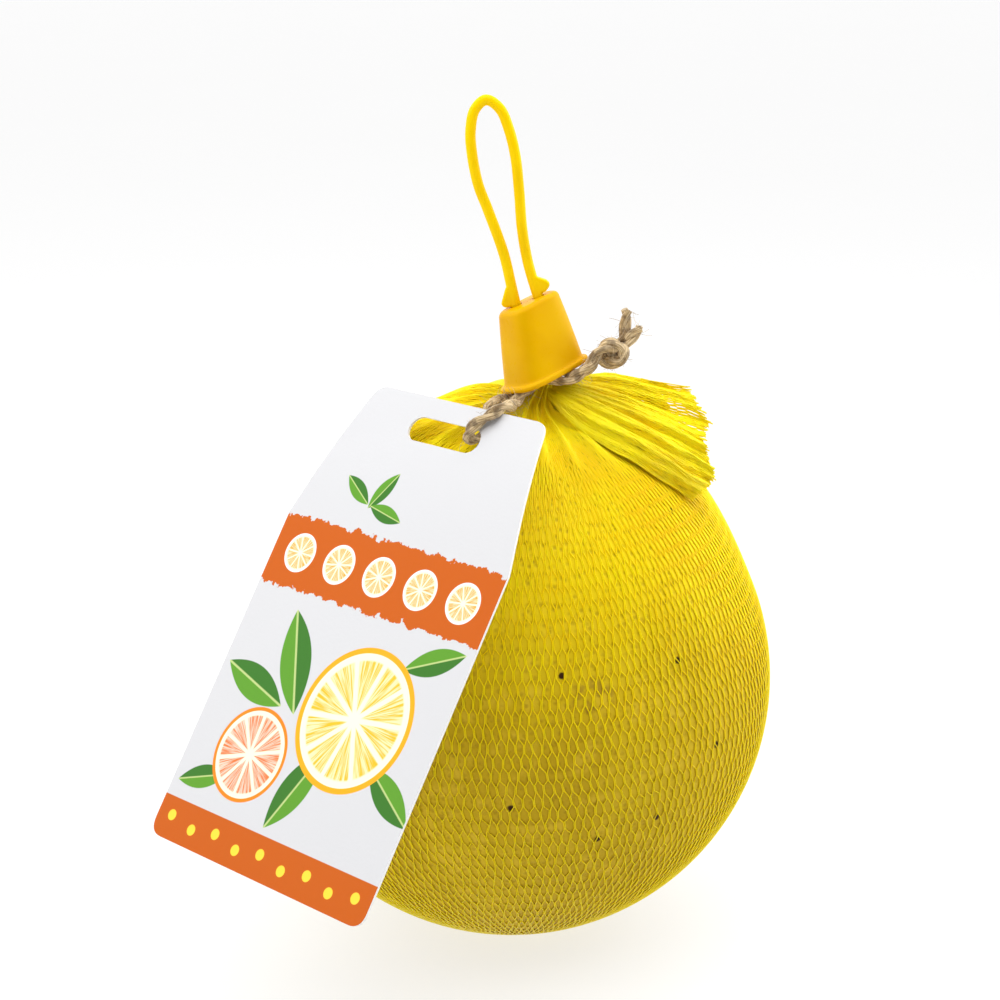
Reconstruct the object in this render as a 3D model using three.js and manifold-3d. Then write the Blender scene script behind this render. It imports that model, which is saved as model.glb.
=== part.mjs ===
// A ripe pomelo packed in a tight knitted net bag. The bag is gathered over the stem end, closed by a
// tapered plastic cap with a loop handle, and its cut end fans out over the shoulder of the fruit. A jute
// twine round the gathered neck carries a die-cut card tag that leans on the front of the fruit.
// Millimetres, +Z up. The origin is the middle of the small flat spot that the fruit rests on.

import * as THREE from 'three';
import Module from 'manifold-3d';
import { mergeVertices } from 'three/addons/utils/BufferGeometryUtils.js';

const wasm = await Module();
wasm.setup();

const DEGREE = Math.PI / 180;
const UP = new THREE.Vector3(0, 0, 1);

// Fruit: a ball that rises to a low dome at the stem end and stands on a small flat spot
const FRUIT_CENTRE = new THREE.Vector3(0, 0, 75);
const FRUIT_RADIUS = 73.6;
const STEM_DIRECTION = new THREE.Vector3(5.3, -20, 87).normalize();
const DOME_HEIGHT = 12;
const DOME_SPREAD = 65 * DEGREE;
const FOOT_RADIUS = 9;
const FOOT_BLEND = 17 * DEGREE;
const FRUIT_SEGMENTS = 44;
const FRUIT_RINGS = 20;

// Net bag: a knitted tube of long six-sided cells, drawn larger than life
const NET_INNER_RADIUS = 74.5;
const NET_OUTER_RADIUS = 75;
const WALES = 28;
const NET_ROWS = 8;
const NET_TOP = 7.5 * DEGREE;
const NET_BOTTOM = 160 * DEGREE;
const NET_BAND = 1.3 * DEGREE;
const NET_LEVEL = 140 * DEGREE;
const STRAND_WIDTH = 1.5;
const STRAND_SHARE = 0.42;
const CELL_SIDE_SHARE = 0.62;
const CELL_END_STRANDS = 1.35;

// Gathered neck and cut tail of the bag
const NECK_SKIRT = 6.2 * DEGREE;
const NECK_PLEATS = 14;
const PLEAT_DEPTH = 0.1;
const NECK_BUNDLE = [
  { centre: [5.2, -19.8, 161], radius: 5.6 },
  { centre: [5.5, -20, 163], radius: 4.3 },
  { centre: [6.1, -20.1, 166], radius: 3.9 },
  { centre: [6.8, -20, 171], radius: 3.9 },
  { centre: [6.9, -20, 177], radius: 3.9 },
];
const NECK_TIP = new THREE.Vector3(6.9, -20, 177.6);
const TAIL_FRONT_EDGE = [[7.5, -21.5, 163.5], [16, -30.5, 159], [31.4, -35.6, 150], [49.5, -31, 136.6]];
const TAIL_MIDDLE = [[7.5, -20, 164.5], [17, -20.5, 163.6], [35.2, -17.5, 156], [52.5, -16, 146.5]];
const TAIL_BACK_EDGE = [
  [7.5, -18.5, 165], [17, -12.5, 164.6], [27, -7, 165], [39, -5, 162.4], [50.8, -5, 159.6],
];
const TAIL_THICKNESS = 1.5;
const TAIL_FOLDS = 3;
const TAIL_FOLD_DEPTH = 1.3;
const TAIL_RAGGED = 0.05;
const TAIL_ACROSS = 24;
const TAIL_ALONG = 8;

// Closure cap: a tapered oval cup with a thin rim, leaning towards the tag
const CAP_SEAT = new THREE.Vector3(9.6, -20, 167.5);
const CAP_LEAN = -17 * DEGREE;
const CAP_HEIGHT = 20.5;
const CAP_OVAL = 0.85;
const CAP_WALL = 1;
const CAP_TOP_HALF_WIDTH = 8.7;
const CAP_TOP_BEVEL = 1.8;
const CAP_BASE_HALF_WIDTH = 11;
const CAP_CORNER = 0.4;
const RIM_HALF_WIDTH = 13;
const RIM_THICKNESS = 1.2;
const RIM_ROUND = 0.3;
const LEG_HOLE_RADIUS = 1.95;
const LEG_HOLE_DEPTH = 6;
const LEG_LEFT = -2.5;
const LEG_RIGHT = 3.8;

// Loop handle: one bent rod whose legs pass through the cap's top
const LOOP_ROD_RADIUS = 1.45;
const LOOP_STEPS = 64;
const LOOP_ROUTE = [
  [-2.5, 0, 16.5], [-2.5, 0, 21], [-2.2, 0, 26], [-1.6, 0, 35], [-2.2, 0, 47.5], [-2.7, 0, 55],
  [-1.7, 0, 64], [-0.4, 0.3, 69], [2.2, 0.6, 73.7], [5.8, 0.8, 75.3], [8.6, 0.7, 72], [9.3, 0.5, 66],
  [8.9, 0, 59], [7.2, 0, 50], [5, 0, 40], [3.9, 0, 31], [3.8, 0, 21], [3.8, 0, 16.5],
];
const LUG_OFFSET = 1.4;
const LUG_SEAT = CAP_HEIGHT + 0.4;
const LUG_HEIGHT = 5.5;
const LUG_TIP_RADIUS = 0.9;
const LUG_FOOT_RADIUS = 2.3;
const LUG_FLATNESS = 0.8;

// Twine: from the knot, past the front of the neck, over the tag into its slot, and back behind the neck
const TWINE_RADIUS = 1.2;
const TWINE_STEPS = 78;
const TWINE_ROUTE = [
  [25.5, -22.8, 175], [23.3, -25.2, 172.2], [20.9, -26.8, 168.6], [16, -26.3, 167.3],
  [12, -26.1, 167.8], [8.5, -26.2, 167.1], [5, -26.2, 164.5], [2, -26.9, 163.3],
  [0, -28.6, 162.6], [-2.6, -34.5, 163.2], [-6.2, -44.4, 164], [-9, -48.8, 160.2],
  [-10.1, -47.2, 156.6], [-8.6, -43, 156], [-7.4, -39, 159.2], [-5.8, -33, 160.9],
  [-3.8, -25, 161.6], [-3.9, -19, 162.4], [-1.7, -14.2, 162.8], [3.3, -11.7, 163.8],
  [10.5, -12.4, 166], [16.5, -15.3, 167.8], [21, -18, 168.9], [24.9, -20.8, 171.4], [25.6, -22, 174.5],
];
const TWINE_END_STEPS = 7;
const TWINE_ENDS = [
  [[26, -22, 175.5], [28.5, -20.5, 179.5], [30.8, -20, 185.6]],
  [[26, -22.5, 175.2], [30.5, -22, 177.6], [35.6, -21.5, 179.8]],
];
const KNOT = new THREE.Vector3(26, -22.5, 175.2);
const KNOT_RADIUS = 2.2;
const KNOT_STRAND_RADIUS = 1.62;
const KNOT_TURNS = [[0.4, 1.1, 0.2], [1.5, 0.3, 0.6]];

// Hang tag: a tapered card, bent back a little above its printed part
const TAG_NORMAL = new THREE.Vector3(-0.578, -0.609, 0.543).normalize();
const TAG_ACROSS = new THREE.Vector3(0.72, -0.694, -0.012);
const TAG_FOLD = new THREE.Vector3(-30.6, -51.7, 129.2);
const TAG_WIDTH = 83;
const TAG_LOWER_LENGTH = 94;
const TAG_UPPER_LENGTH = 41.3;
const TAG_TOP_WIDTH = 62.2;
const TAG_THICKNESS = 0.7;
const TAG_BOTTOM_CORNER = 4.5;
const TAG_TOP_CORNER = 3.6;
const TAG_TOP_FLARE = 0.9;
const TAG_BEND_START = 8;
const TAG_BEND = 9.5 * DEGREE;
const TAG_BEND_STOPS = [TAG_BEND_START, 17, 26, 34];
const TAG_TRIM = 2;
const TAG_CUT_DEPTH = 10;
const SLOT_LENGTH = 26;
const SLOT_HEIGHT = 7.2;
const SLOT_CENTRE = 31.7;

const finish = (color, roughness) => new THREE.MeshStandardMaterial({ color, roughness, metalness: 0 });
const MATERIALS = {
  peel: finish(0xd8c030, 0.55),
  net: finish(0xf5dc14, 0.5),
  cap: finish(0xf0b400, 0.35),
  loop: finish(0xfac800, 0.35),
  twine: finish(0x967d55, 0.95),
  card: finish(0xf4f4f4, 0.25),
};

// ---- Helpers ----

const clamp01 = (x) => Math.min(1, Math.max(0, x));
const smoothstep = (x) => clamp01(x) ** 2 * (3 - 2 * clamp01(x));

function meshFrom(points, triangles) {
  const places = points.flatMap((point) => point.toArray());
  const geometry = new THREE.BufferGeometry();
  geometry.setAttribute('position', new THREE.Float32BufferAttribute(places, 3));
  geometry.setIndex(triangles);
  return geometry;
}

function toSolid(geometry) {
  const bare = new THREE.BufferGeometry();
  bare.setAttribute('position', geometry.getAttribute('position'));
  bare.setIndex(geometry.getIndex());
  const merged = mergeVertices(bare, 1e-4);
  return new wasm.Manifold(new wasm.Mesh({
    numProp: 3,
    vertProperties: new Float32Array(merged.getAttribute('position').array),
    triVerts: new Uint32Array(merged.getIndex().array),
  }));
}

function toGeometry(solid) {
  const mesh = solid.getMesh();
  const geometry = new THREE.BufferGeometry();
  geometry.setAttribute('position', new THREE.Float32BufferAttribute(mesh.vertProperties, 3));
  geometry.setIndex(new THREE.Uint32BufferAttribute(mesh.triVerts, 1));
  return geometry;
}

// A closed skin over rings of equal length, with a fan to a point at each end
function loft(rings, firstPoint, lastPoint) {
  const count = rings[0].length;
  const points = [...rings.flat(), firstPoint, lastPoint];
  const first = points.length - 2;
  const last = points.length - 1;
  const triangles = [];
  for (let k = 0; k < count; k += 1) {
    const next = (k + 1) % count;
    triangles.push(first, next, k);
    for (let ring = 0; ring < rings.length - 1; ring += 1) {
      const low = ring * count;
      const high = low + count;
      triangles.push(low + k, low + next, high + next, low + k, high + next, high + k);
    }
    const top = (rings.length - 1) * count;
    triangles.push(last, top + k, top + next);
  }
  return meshFrom(points, triangles);
}

// A round rod along a curve
function rod(curve, radius, steps, sides) {
  const section = new THREE.Shape();
  section.absarc(0, 0, radius, 0, 2 * Math.PI, false);
  return new THREE.ExtrudeGeometry(section, {
    steps, curveSegments: sides / 2, bevelEnabled: false, extrudePath: curve,
  });
}

function curveThrough(places) {
  const points = places.map((place) => new THREE.Vector3(...place));
  return new THREE.CatmullRomCurve3(points, false, 'centripetal');
}

// ---- Shape of the fruit, shared by the net that covers it ----

function domeRise(direction) {
  const angle = direction.angleTo(STEM_DIRECTION);
  return DOME_HEIGHT * Math.max(0, 1 - (angle / DOME_SPREAD) ** 2) ** 2;
}

function onFruit(direction, radius) {
  return direction.clone().multiplyScalar(radius + domeRise(direction)).add(FRUIT_CENTRE);
}

function fruit() {
  const footAngle = Math.atan2(FOOT_RADIUS, FRUIT_CENTRE.z);
  const footReach = Math.hypot(FOOT_RADIUS, FRUIT_CENTRE.z) - FRUIT_RADIUS;
  const rings = [];
  for (let ring = 0; ring < FRUIT_RINGS; ring += 1) {
    const rise = footAngle + (Math.PI - footAngle) * (ring / FRUIT_RINGS);
    const foot = footReach * smoothstep((FOOT_BLEND - rise) / (FOOT_BLEND - footAngle));
    rings.push(Array.from({ length: FRUIT_SEGMENTS }, (_, k) => {
      const turn = (2 * Math.PI * k) / FRUIT_SEGMENTS;
      const direction = new THREE.Vector3().setFromSphericalCoords(1, rise, turn);
      return onFruit(new THREE.Vector3(direction.z, direction.x, -direction.y), FRUIT_RADIUS + foot);
    }));
  }
  rings[0].forEach((point) => { point.z = 0; });
  return loft(rings, new THREE.Vector3(0, 0, 0), onFruit(UP, FRUIT_RADIUS));
}

// ---- Net bag ----

// Rows lean with the stem end at the top of the bag and are level at its bottom
function netDirection(fall, turn) {
  const lean = new THREE.Quaternion().setFromUnitVectors(UP, STEM_DIRECTION);
  lean.slerp(new THREE.Quaternion(), smoothstep(fall / NET_LEVEL));
  const flat = Math.sin(fall);
  const direction = new THREE.Vector3(flat * Math.cos(turn), flat * Math.sin(turn), Math.cos(fall));
  return direction.applyQuaternion(lean);
}

function netBag() {
  const step = (2 * Math.PI) / WALES;
  const pitch = (NET_BOTTOM - NET_TOP - 2 * NET_BAND) / (NET_ROWS + (1 - CELL_SIDE_SHARE));
  const side = pitch * CELL_SIDE_SHARE;
  const slant = pitch - side;
  const directions = [];
  const corners = [];
  for (let row = 0; row < NET_ROWS; row += 1) {
    const fall = NET_TOP + NET_BAND + slant + side / 2 + row * pitch;
    const width = NET_OUTER_RADIUS * Math.sin(fall) * step;
    const strand = Math.min(STRAND_WIDTH, STRAND_SHARE * width);
    const length = NET_OUTER_RADIUS * (side + 2 * slant);
    const across = (step / 2) * (1 - strand / width);
    const along = 1 - (CELL_END_STRANDS * strand) / length;
    const outline = [
      [0, -(side / 2 + slant)], [1, -side / 2], [1, side / 2],
      [0, side / 2 + slant], [-1, side / 2], [-1, -side / 2],
    ];
    for (let wale = 0; wale < WALES; wale += 1) {
      const turn = (wale + (row % 2) / 2) * step;
      corners.push(outline.map(([x, y]) => directions.push([fall + y * along, turn + x * across]) - 1));
    }
  }
  const cell = (wale, row) => corners[row * WALES + ((wale + WALES) % WALES)];

  // Two plain bands close the knitted rows, at the neck and under the fruit
  const band = (fall, row) => Array.from({ length: 2 * WALES }, (_, k) => (
    directions.push([fall, (k / 2 + (row % 2) / 2) * step]) - 1));
  const topBand = band(NET_TOP, 0);
  const bottomBand = band(NET_BOTTOM, NET_ROWS - 1);
  const ringAt = (ring, k) => ring[(k + 2 * WALES) % (2 * WALES)];

  const faces = [];
  for (let row = 0; row < NET_ROWS; row += 1) {
    for (let wale = 0; wale < WALES; wale += 1) {
      const own = cell(wale, row);
      const right = cell(wale + 1, row);
      faces.push([own[2], own[1], right[5], right[4]]);
      if (row < NET_ROWS - 1) {
        const lowerRight = cell(wale + (row % 2), row + 1);
        const lowerLeft = cell(wale + (row % 2) - 1, row + 1);
        faces.push([own[3], own[2], lowerRight[0], lowerRight[5]]);
        faces.push([own[4], own[3], lowerLeft[1], lowerLeft[0]]);
        faces.push([own[3], lowerRight[5], lowerLeft[1]]);
        faces.push([own[2], right[4], lowerRight[0]]);
      }
    }
  }
  for (let wale = 0; wale < WALES; wale += 1) {
    const upper = cell(wale, 0);
    const lower = cell(wale, NET_ROWS - 1);
    faces.push([upper[0], upper[5], ringAt(topBand, 2 * wale - 1), ringAt(topBand, 2 * wale)]);
    faces.push([upper[1], upper[0], ringAt(topBand, 2 * wale), ringAt(topBand, 2 * wale + 1)]);
    faces.push([cell(wale + 1, 0)[5], upper[1], ringAt(topBand, 2 * wale + 1)]);
    faces.push([lower[4], lower[3], ringAt(bottomBand, 2 * wale), ringAt(bottomBand, 2 * wale - 1)]);
    faces.push([lower[3], lower[2], ringAt(bottomBand, 2 * wale + 1), ringAt(bottomBand, 2 * wale)]);
    faces.push([lower[2], cell(wale + 1, NET_ROWS - 1)[4], ringAt(bottomBand, 2 * wale + 1)]);
  }
  return thickenNet(directions, faces);
}

// Gives the net's faces two skins and closes each free edge between them
function thickenNet(directions, faces) {
  const count = directions.length;
  const skin = (radius) => directions.map(([fall, turn]) => onFruit(netDirection(fall, turn), radius));
  const points = [...skin(NET_OUTER_RADIUS), ...skin(NET_INNER_RADIUS)];
  const triangles = [];
  const edges = new Set();
  const outward = (face) => {
    const [a, b, c] = face.map((k) => points[k]);
    const normal = b.clone().sub(a).cross(c.clone().sub(a));
    return normal.dot(a.clone().sub(FRUIT_CENTRE)) > 0 ? face : [...face].reverse();
  };
  for (const face of faces.map(outward)) {
    for (let k = 1; k < face.length - 1; k += 1) {
      triangles.push(face[0], face[k], face[k + 1]);
      triangles.push(face[0] + count, face[k + 1] + count, face[k] + count);
    }
    face.forEach((from, k) => edges.add(`${from},${face[(k + 1) % face.length]}`));
  }
  for (const edge of edges) {
    const [from, to] = edge.split(',').map(Number);
    if (!edges.has(`${to},${from}`)) {
      triangles.push(from, from + count, to + count, from, to + count, to);
    }
  }
  return meshFrom(points, triangles);
}

// ---- Gathered neck and tail ----

function neck() {
  const sides = 2 * NECK_PLEATS;
  const lean = new THREE.Quaternion().setFromUnitVectors(UP, STEM_DIRECTION);
  const skirtRing = (fall, radius) => Array.from({ length: sides }, (_, k) => (
    onFruit(netDirection(fall, (2 * Math.PI * k) / sides), radius)));
  const bundleRing = ({ centre, radius }) => Array.from({ length: sides }, (_, k) => {
    const pleated = radius * (1 + (k % 2 ? -PLEAT_DEPTH : PLEAT_DEPTH));
    const turn = (2 * Math.PI * k) / sides;
    const offset = new THREE.Vector3(pleated * Math.cos(turn), pleated * Math.sin(turn), 0);
    return offset.applyQuaternion(lean).add(new THREE.Vector3(...centre));
  });
  const rings = [
    skirtRing(NECK_SKIRT / 2, NET_INNER_RADIUS),
    skirtRing(NECK_SKIRT, NET_INNER_RADIUS),
    skirtRing(NECK_SKIRT, NET_OUTER_RADIUS),
    ...NECK_BUNDLE.map(bundleRing),
  ];
  return loft(rings, onFruit(STEM_DIRECTION, NET_INNER_RADIUS), NECK_TIP);
}

const TAIL_RAILS = [TAIL_FRONT_EDGE, TAIL_MIDDLE, TAIL_BACK_EDGE].map(curveThrough);

// A point of the tail's middle surface, on an arc across its three rails
function tailPoint(across, along) {
  const [front, middle, back] = TAIL_RAILS.map((rail) => rail.getPoint(along));
  const control = middle.multiplyScalar(2).addScaledVector(front, -0.5).addScaledVector(back, -0.5);
  return new THREE.QuadraticBezierCurve3(front, control, back).getPoint(across);
}

function tailNormal(across, along) {
  const small = 0.02;
  const inside = THREE.MathUtils.clamp(along, small, 1 - small);
  const sideways = tailPoint(across + small, inside).sub(tailPoint(across - small, inside));
  const lengthways = tailPoint(across, inside + small).sub(tailPoint(across, inside - small));
  return lengthways.cross(sideways).normalize();
}

function tail() {
  const at = (column, row, height) => {
    const across = column / TAIL_ACROSS;
    const ragged = row === TAIL_ALONG ? TAIL_RAGGED * (column % 3) : 0;
    const along = row / TAIL_ALONG - ragged;
    const fold = TAIL_FOLD_DEPTH * along * Math.sin(2 * Math.PI * TAIL_FOLDS * across);
    return tailPoint(across, along).addScaledVector(tailNormal(across, along), fold + height);
  };
  const columns = Array.from({ length: TAIL_ACROSS + 1 }, (_, column) => column);
  const skin = (row, height) => columns.map((column) => at(column, row, height));
  const rings = [];
  for (let row = 0; row <= TAIL_ALONG; row += 1) {
    rings.push([...skin(row, TAIL_THICKNESS / 2), ...skin(row, -TAIL_THICKNESS / 2).reverse()]);
  }
  return closeStrip(rings);
}

// A skin over thin rings, whose two ends are closed by strips across the ring
function closeStrip(rings) {
  const count = rings[0].length;
  const triangles = [];
  for (let ring = 0; ring < rings.length - 1; ring += 1) {
    for (let k = 0; k < count; k += 1) {
      const next = (k + 1) % count;
      const low = ring * count;
      const high = low + count;
      triangles.push(low + k, high + next, low + next, low + k, high + k, high + next);
    }
  }
  const last = (rings.length - 1) * count;
  for (let k = 0; k < count / 2 - 1; k += 1) {
    const [a, b, c, d] = [k, k + 1, count - 2 - k, count - 1 - k];
    triangles.push(a, b, c, a, c, d);
    triangles.push(last + a, last + c, last + b, last + a, last + d, last + c);
  }
  return meshFrom(rings.flat(), triangles);
}

function netGather() {
  return toGeometry(toSolid(neck()).add(toSolid(tail())));
}

// ---- Closure cap and loop handle, in the cap's own frame: its rim is at z = 0 ----

function closureCap() {
  const ceiling = CAP_HEIGHT - CAP_WALL;
  const profile = [
    [0, ceiling],
    [CAP_TOP_HALF_WIDTH - CAP_WALL - CAP_CORNER, ceiling],
    [CAP_BASE_HALF_WIDTH - CAP_WALL, 0],
    [RIM_HALF_WIDTH - RIM_ROUND, 0],
    [RIM_HALF_WIDTH, RIM_THICKNESS / 2],
    [RIM_HALF_WIDTH - RIM_ROUND, RIM_THICKNESS],
    [CAP_BASE_HALF_WIDTH + CAP_CORNER, RIM_THICKNESS + CAP_CORNER / 2],
    [CAP_BASE_HALF_WIDTH - CAP_CORNER / 2, RIM_THICKNESS + 3 * CAP_CORNER],
    [CAP_TOP_HALF_WIDTH, CAP_HEIGHT - CAP_TOP_BEVEL],
    [CAP_TOP_HALF_WIDTH - CAP_CORNER, CAP_HEIGHT - CAP_CORNER],
    [CAP_TOP_HALF_WIDTH - CAP_TOP_BEVEL, CAP_HEIGHT],
    [0, CAP_HEIGHT],
  ].map(([x, y]) => new THREE.Vector2(x, y));
  const cup = new THREE.LatheGeometry(profile, 32);
  cup.rotateX(Math.PI / 2);
  cup.scale(1, CAP_OVAL, 1);
  const drill = (x) => {
    const hole = new THREE.CylinderGeometry(LEG_HOLE_RADIUS, LEG_HOLE_RADIUS, LEG_HOLE_DEPTH, 16);
    hole.rotateX(Math.PI / 2);
    hole.translate(x, 0, CAP_HEIGHT);
    return toSolid(hole);
  };
  return toGeometry(toSolid(cup).subtract(drill(LEG_LEFT)).subtract(drill(LEG_RIGHT)));
}

function loopHandle() {
  const lug = (x) => {
    const wedge = new THREE.CylinderGeometry(LUG_TIP_RADIUS, LUG_FOOT_RADIUS, LUG_HEIGHT, 8);
    wedge.rotateX(Math.PI / 2);
    wedge.scale(1, LUG_FLATNESS, 1);
    wedge.translate(x, 0, LUG_SEAT + LUG_HEIGHT / 2);
    return toSolid(wedge);
  };
  const handle = toSolid(rod(curveThrough(LOOP_ROUTE), LOOP_ROD_RADIUS, LOOP_STEPS, 10));
  return toGeometry(handle.add(lug(LEG_LEFT - LUG_OFFSET)).add(lug(LEG_RIGHT + LUG_OFFSET)));
}

// ---- Twine ----

function twine() {
  const wrap = ([x, y, z]) => {
    const ring = new THREE.TorusGeometry(KNOT_RADIUS, KNOT_STRAND_RADIUS, 8, 14);
    ring.rotateX(x);
    ring.rotateY(y);
    ring.rotateZ(z);
    ring.translate(...KNOT);
    return toSolid(ring);
  };
  const parts = [
    toSolid(rod(curveThrough(TWINE_ROUTE), TWINE_RADIUS, TWINE_STEPS, 8)),
    ...TWINE_ENDS.map((end) => toSolid(rod(curveThrough(end), TWINE_RADIUS, TWINE_END_STEPS, 8))),
    ...KNOT_TURNS.map(wrap),
  ];
  return toGeometry(parts.reduce((whole, part) => whole.add(part)));
}

// ---- Hang tag, in its own frame: x across, y up the card, z off its printed face, y = 0 at the bend ----

function tagOutline() {
  const half = TAG_WIDTH / 2;
  const topHalf = TAG_TOP_WIDTH / 2;
  const outline = new THREE.Shape();
  outline.moveTo(-half + TAG_BOTTOM_CORNER, -TAG_LOWER_LENGTH);
  outline.lineTo(half - TAG_BOTTOM_CORNER, -TAG_LOWER_LENGTH);
  outline.quadraticCurveTo(half, -TAG_LOWER_LENGTH, half, -TAG_LOWER_LENGTH + TAG_BOTTOM_CORNER);
  outline.lineTo(half, 0);
  outline.lineTo(topHalf + TAG_TOP_FLARE, TAG_UPPER_LENGTH - TAG_TOP_CORNER);
  outline.quadraticCurveTo(topHalf, TAG_UPPER_LENGTH, topHalf - TAG_TOP_CORNER, TAG_UPPER_LENGTH);
  outline.lineTo(-topHalf + TAG_TOP_CORNER, TAG_UPPER_LENGTH);
  outline.quadraticCurveTo(
    -topHalf, TAG_UPPER_LENGTH, -topHalf - TAG_TOP_FLARE, TAG_UPPER_LENGTH - TAG_TOP_CORNER,
  );
  outline.lineTo(-half, 0);
  outline.lineTo(-half, -TAG_LOWER_LENGTH + TAG_BOTTOM_CORNER);
  outline.quadraticCurveTo(-half, -TAG_LOWER_LENGTH, -half + TAG_BOTTOM_CORNER, -TAG_LOWER_LENGTH);
  const slot = new THREE.Path();
  const reach = (SLOT_LENGTH - SLOT_HEIGHT) / 2;
  slot.absarc(reach, SLOT_CENTRE, SLOT_HEIGHT / 2, -Math.PI / 2, Math.PI / 2, false);
  slot.absarc(-reach, SLOT_CENTRE, SLOT_HEIGHT / 2, Math.PI / 2, (3 * Math.PI) / 2, false);
  outline.holes.push(slot);
  return outline;
}

// Height of the card's back face above the plane of its lower part
function tagBend(y) {
  const radius = (TAG_UPPER_LENGTH - TAG_BEND_START) / TAG_BEND;
  const past = Math.max(0, y - TAG_BEND_START);
  return -(past ** 2) / (2 * radius);
}

function hangTag() {
  const stops = [-TAG_LOWER_LENGTH - TAG_TRIM, ...TAG_BEND_STOPS, TAG_UPPER_LENGTH + TAG_TRIM];
  const back = stops.map((y) => new THREE.Vector2(y, tagBend(y)));
  const front = stops.map((y) => new THREE.Vector2(y, tagBend(y) + TAG_THICKNESS));
  const side = new THREE.Shape([...back, ...front.reverse()]);
  const sheet = new THREE.ExtrudeGeometry(side, { depth: TAG_WIDTH + 2 * TAG_TRIM, bevelEnabled: false });
  sheet.applyMatrix4(new THREE.Matrix4().makeBasis(
    new THREE.Vector3(0, 1, 0), new THREE.Vector3(0, 0, 1), new THREE.Vector3(1, 0, 0),
  ));
  sheet.translate(-TAG_WIDTH / 2 - TAG_TRIM, 0, 0);
  const cutter = new THREE.ExtrudeGeometry(tagOutline(), {
    depth: 2 * TAG_CUT_DEPTH, curveSegments: 5, bevelEnabled: false,
  });
  cutter.translate(0, 0, -TAG_CUT_DEPTH);
  return toGeometry(toSolid(sheet).intersect(toSolid(cutter)));
}

// ---- Scene graph ----

const object = new THREE.Group();

function part(name, geometry, material, parent = object) {
  const mesh = new THREE.Mesh(geometry, material);
  mesh.name = name;
  parent.add(mesh);
  return mesh;
}

part('fruit', fruit(), MATERIALS.peel);
part('net_bag', netBag(), MATERIALS.net);
part('net_gather', netGather(), MATERIALS.net);

const closure = new THREE.Group();
closure.position.copy(CAP_SEAT);
closure.rotation.y = CAP_LEAN;
object.add(closure);
part('closure_cap', closureCap(), MATERIALS.cap, closure);
part('loop_handle', loopHandle(), MATERIALS.loop, closure);

part('twine', twine(), MATERIALS.twine);

const tag = part('hang_tag', hangTag(), MATERIALS.card);
tag.position.copy(TAG_FOLD);
tag.quaternion.setFromRotationMatrix(new THREE.Matrix4().makeBasis(
  TAG_ACROSS.clone().normalize(), TAG_NORMAL.clone().cross(TAG_ACROSS).normalize(), TAG_NORMAL,
));

export default object;
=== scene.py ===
"""A ripe pomelo in a tight knitted net bag, with its closure cap, loop handle, twine and hang tag.

Lengths are millimetres until a mesh is made from them. +Z is up, and the origin is the middle of the
flat spot that the fruit rests on.
"""

import logging
import math
from dataclasses import dataclass
from enum import Enum
from typing import Any, Iterable, Sequence

import bpy
import numpy as np
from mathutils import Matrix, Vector


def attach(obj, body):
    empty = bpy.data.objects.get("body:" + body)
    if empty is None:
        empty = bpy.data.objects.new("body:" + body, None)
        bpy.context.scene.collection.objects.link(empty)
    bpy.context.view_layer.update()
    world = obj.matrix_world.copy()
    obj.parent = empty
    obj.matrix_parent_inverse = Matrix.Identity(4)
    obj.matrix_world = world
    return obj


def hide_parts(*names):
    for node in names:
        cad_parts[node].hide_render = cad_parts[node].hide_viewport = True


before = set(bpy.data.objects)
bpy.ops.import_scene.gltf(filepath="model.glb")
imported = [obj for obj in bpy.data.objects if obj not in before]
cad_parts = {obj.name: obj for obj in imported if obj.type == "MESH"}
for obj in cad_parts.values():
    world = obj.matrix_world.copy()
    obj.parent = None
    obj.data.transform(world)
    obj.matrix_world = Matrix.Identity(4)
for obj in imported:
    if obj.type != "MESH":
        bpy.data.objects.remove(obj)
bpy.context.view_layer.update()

MM = 0.001
DEGREE = math.pi / 180
ROOT = "root"
SECTION_PLACE = "section_place"
RUN_LENGTH = "run_length"
CARD_UV = "card"
CARD_UV_SPAN = 160.0
CARD_UV_LOW = -110.0
WHITE_LEVEL = 255
WHITE_LIGHT = (1.0, 1.0, 1.0, 1.0)
SHARP_ANGLE = 40 * DEGREE
CORNER_POINTS = 9
ASIDE = (0.3, 0.9, 0.2)

Array = np.ndarray
Place = tuple[float, float, float]
Shade = tuple[int, int, int]

log = logging.getLogger("pomelo")


# ---- Small tools ----


def smoothstep(x: Array) -> Array:
    """Returns the smooth 0 to 1 step of x."""
    t = np.clip(x, 0.0, 1.0)
    return t * t * (3.0 - 2.0 * t)


def unit(vectors: Array) -> Array:
    """Returns the vectors at length 1, along their last axis."""
    return vectors / np.linalg.norm(vectors, axis=-1, keepdims=True)


def turned(vectors: Array, axis: Array, angle: Array) -> Array:
    """Turns vectors about one axis.

    Args:
        vectors: points or directions, with x, y, z last.
        axis: the axis, of length 1.
        angle: the angle for each vector, in radians.

    Returns:
        The turned vectors.
    """
    cosine = np.cos(angle)[..., None]
    sine = np.sin(angle)[..., None]
    along = (vectors @ axis)[..., None] * axis
    return vectors * cosine + np.cross(axis, vectors) * sine + along * (1.0 - cosine)


def between(first: Array, second: Array, low: float, high: float, at: float) -> Array:
    """Finds a point between two others.

    Args:
        first: the point at the low end.
        second: the point at the high end.
        low: where the first point stands.
        high: where the second point stands.
        at: where the wanted point stands.

    Returns:
        The point.
    """
    return (first * (high - at) + second * (at - low)) / (high - low)


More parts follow.
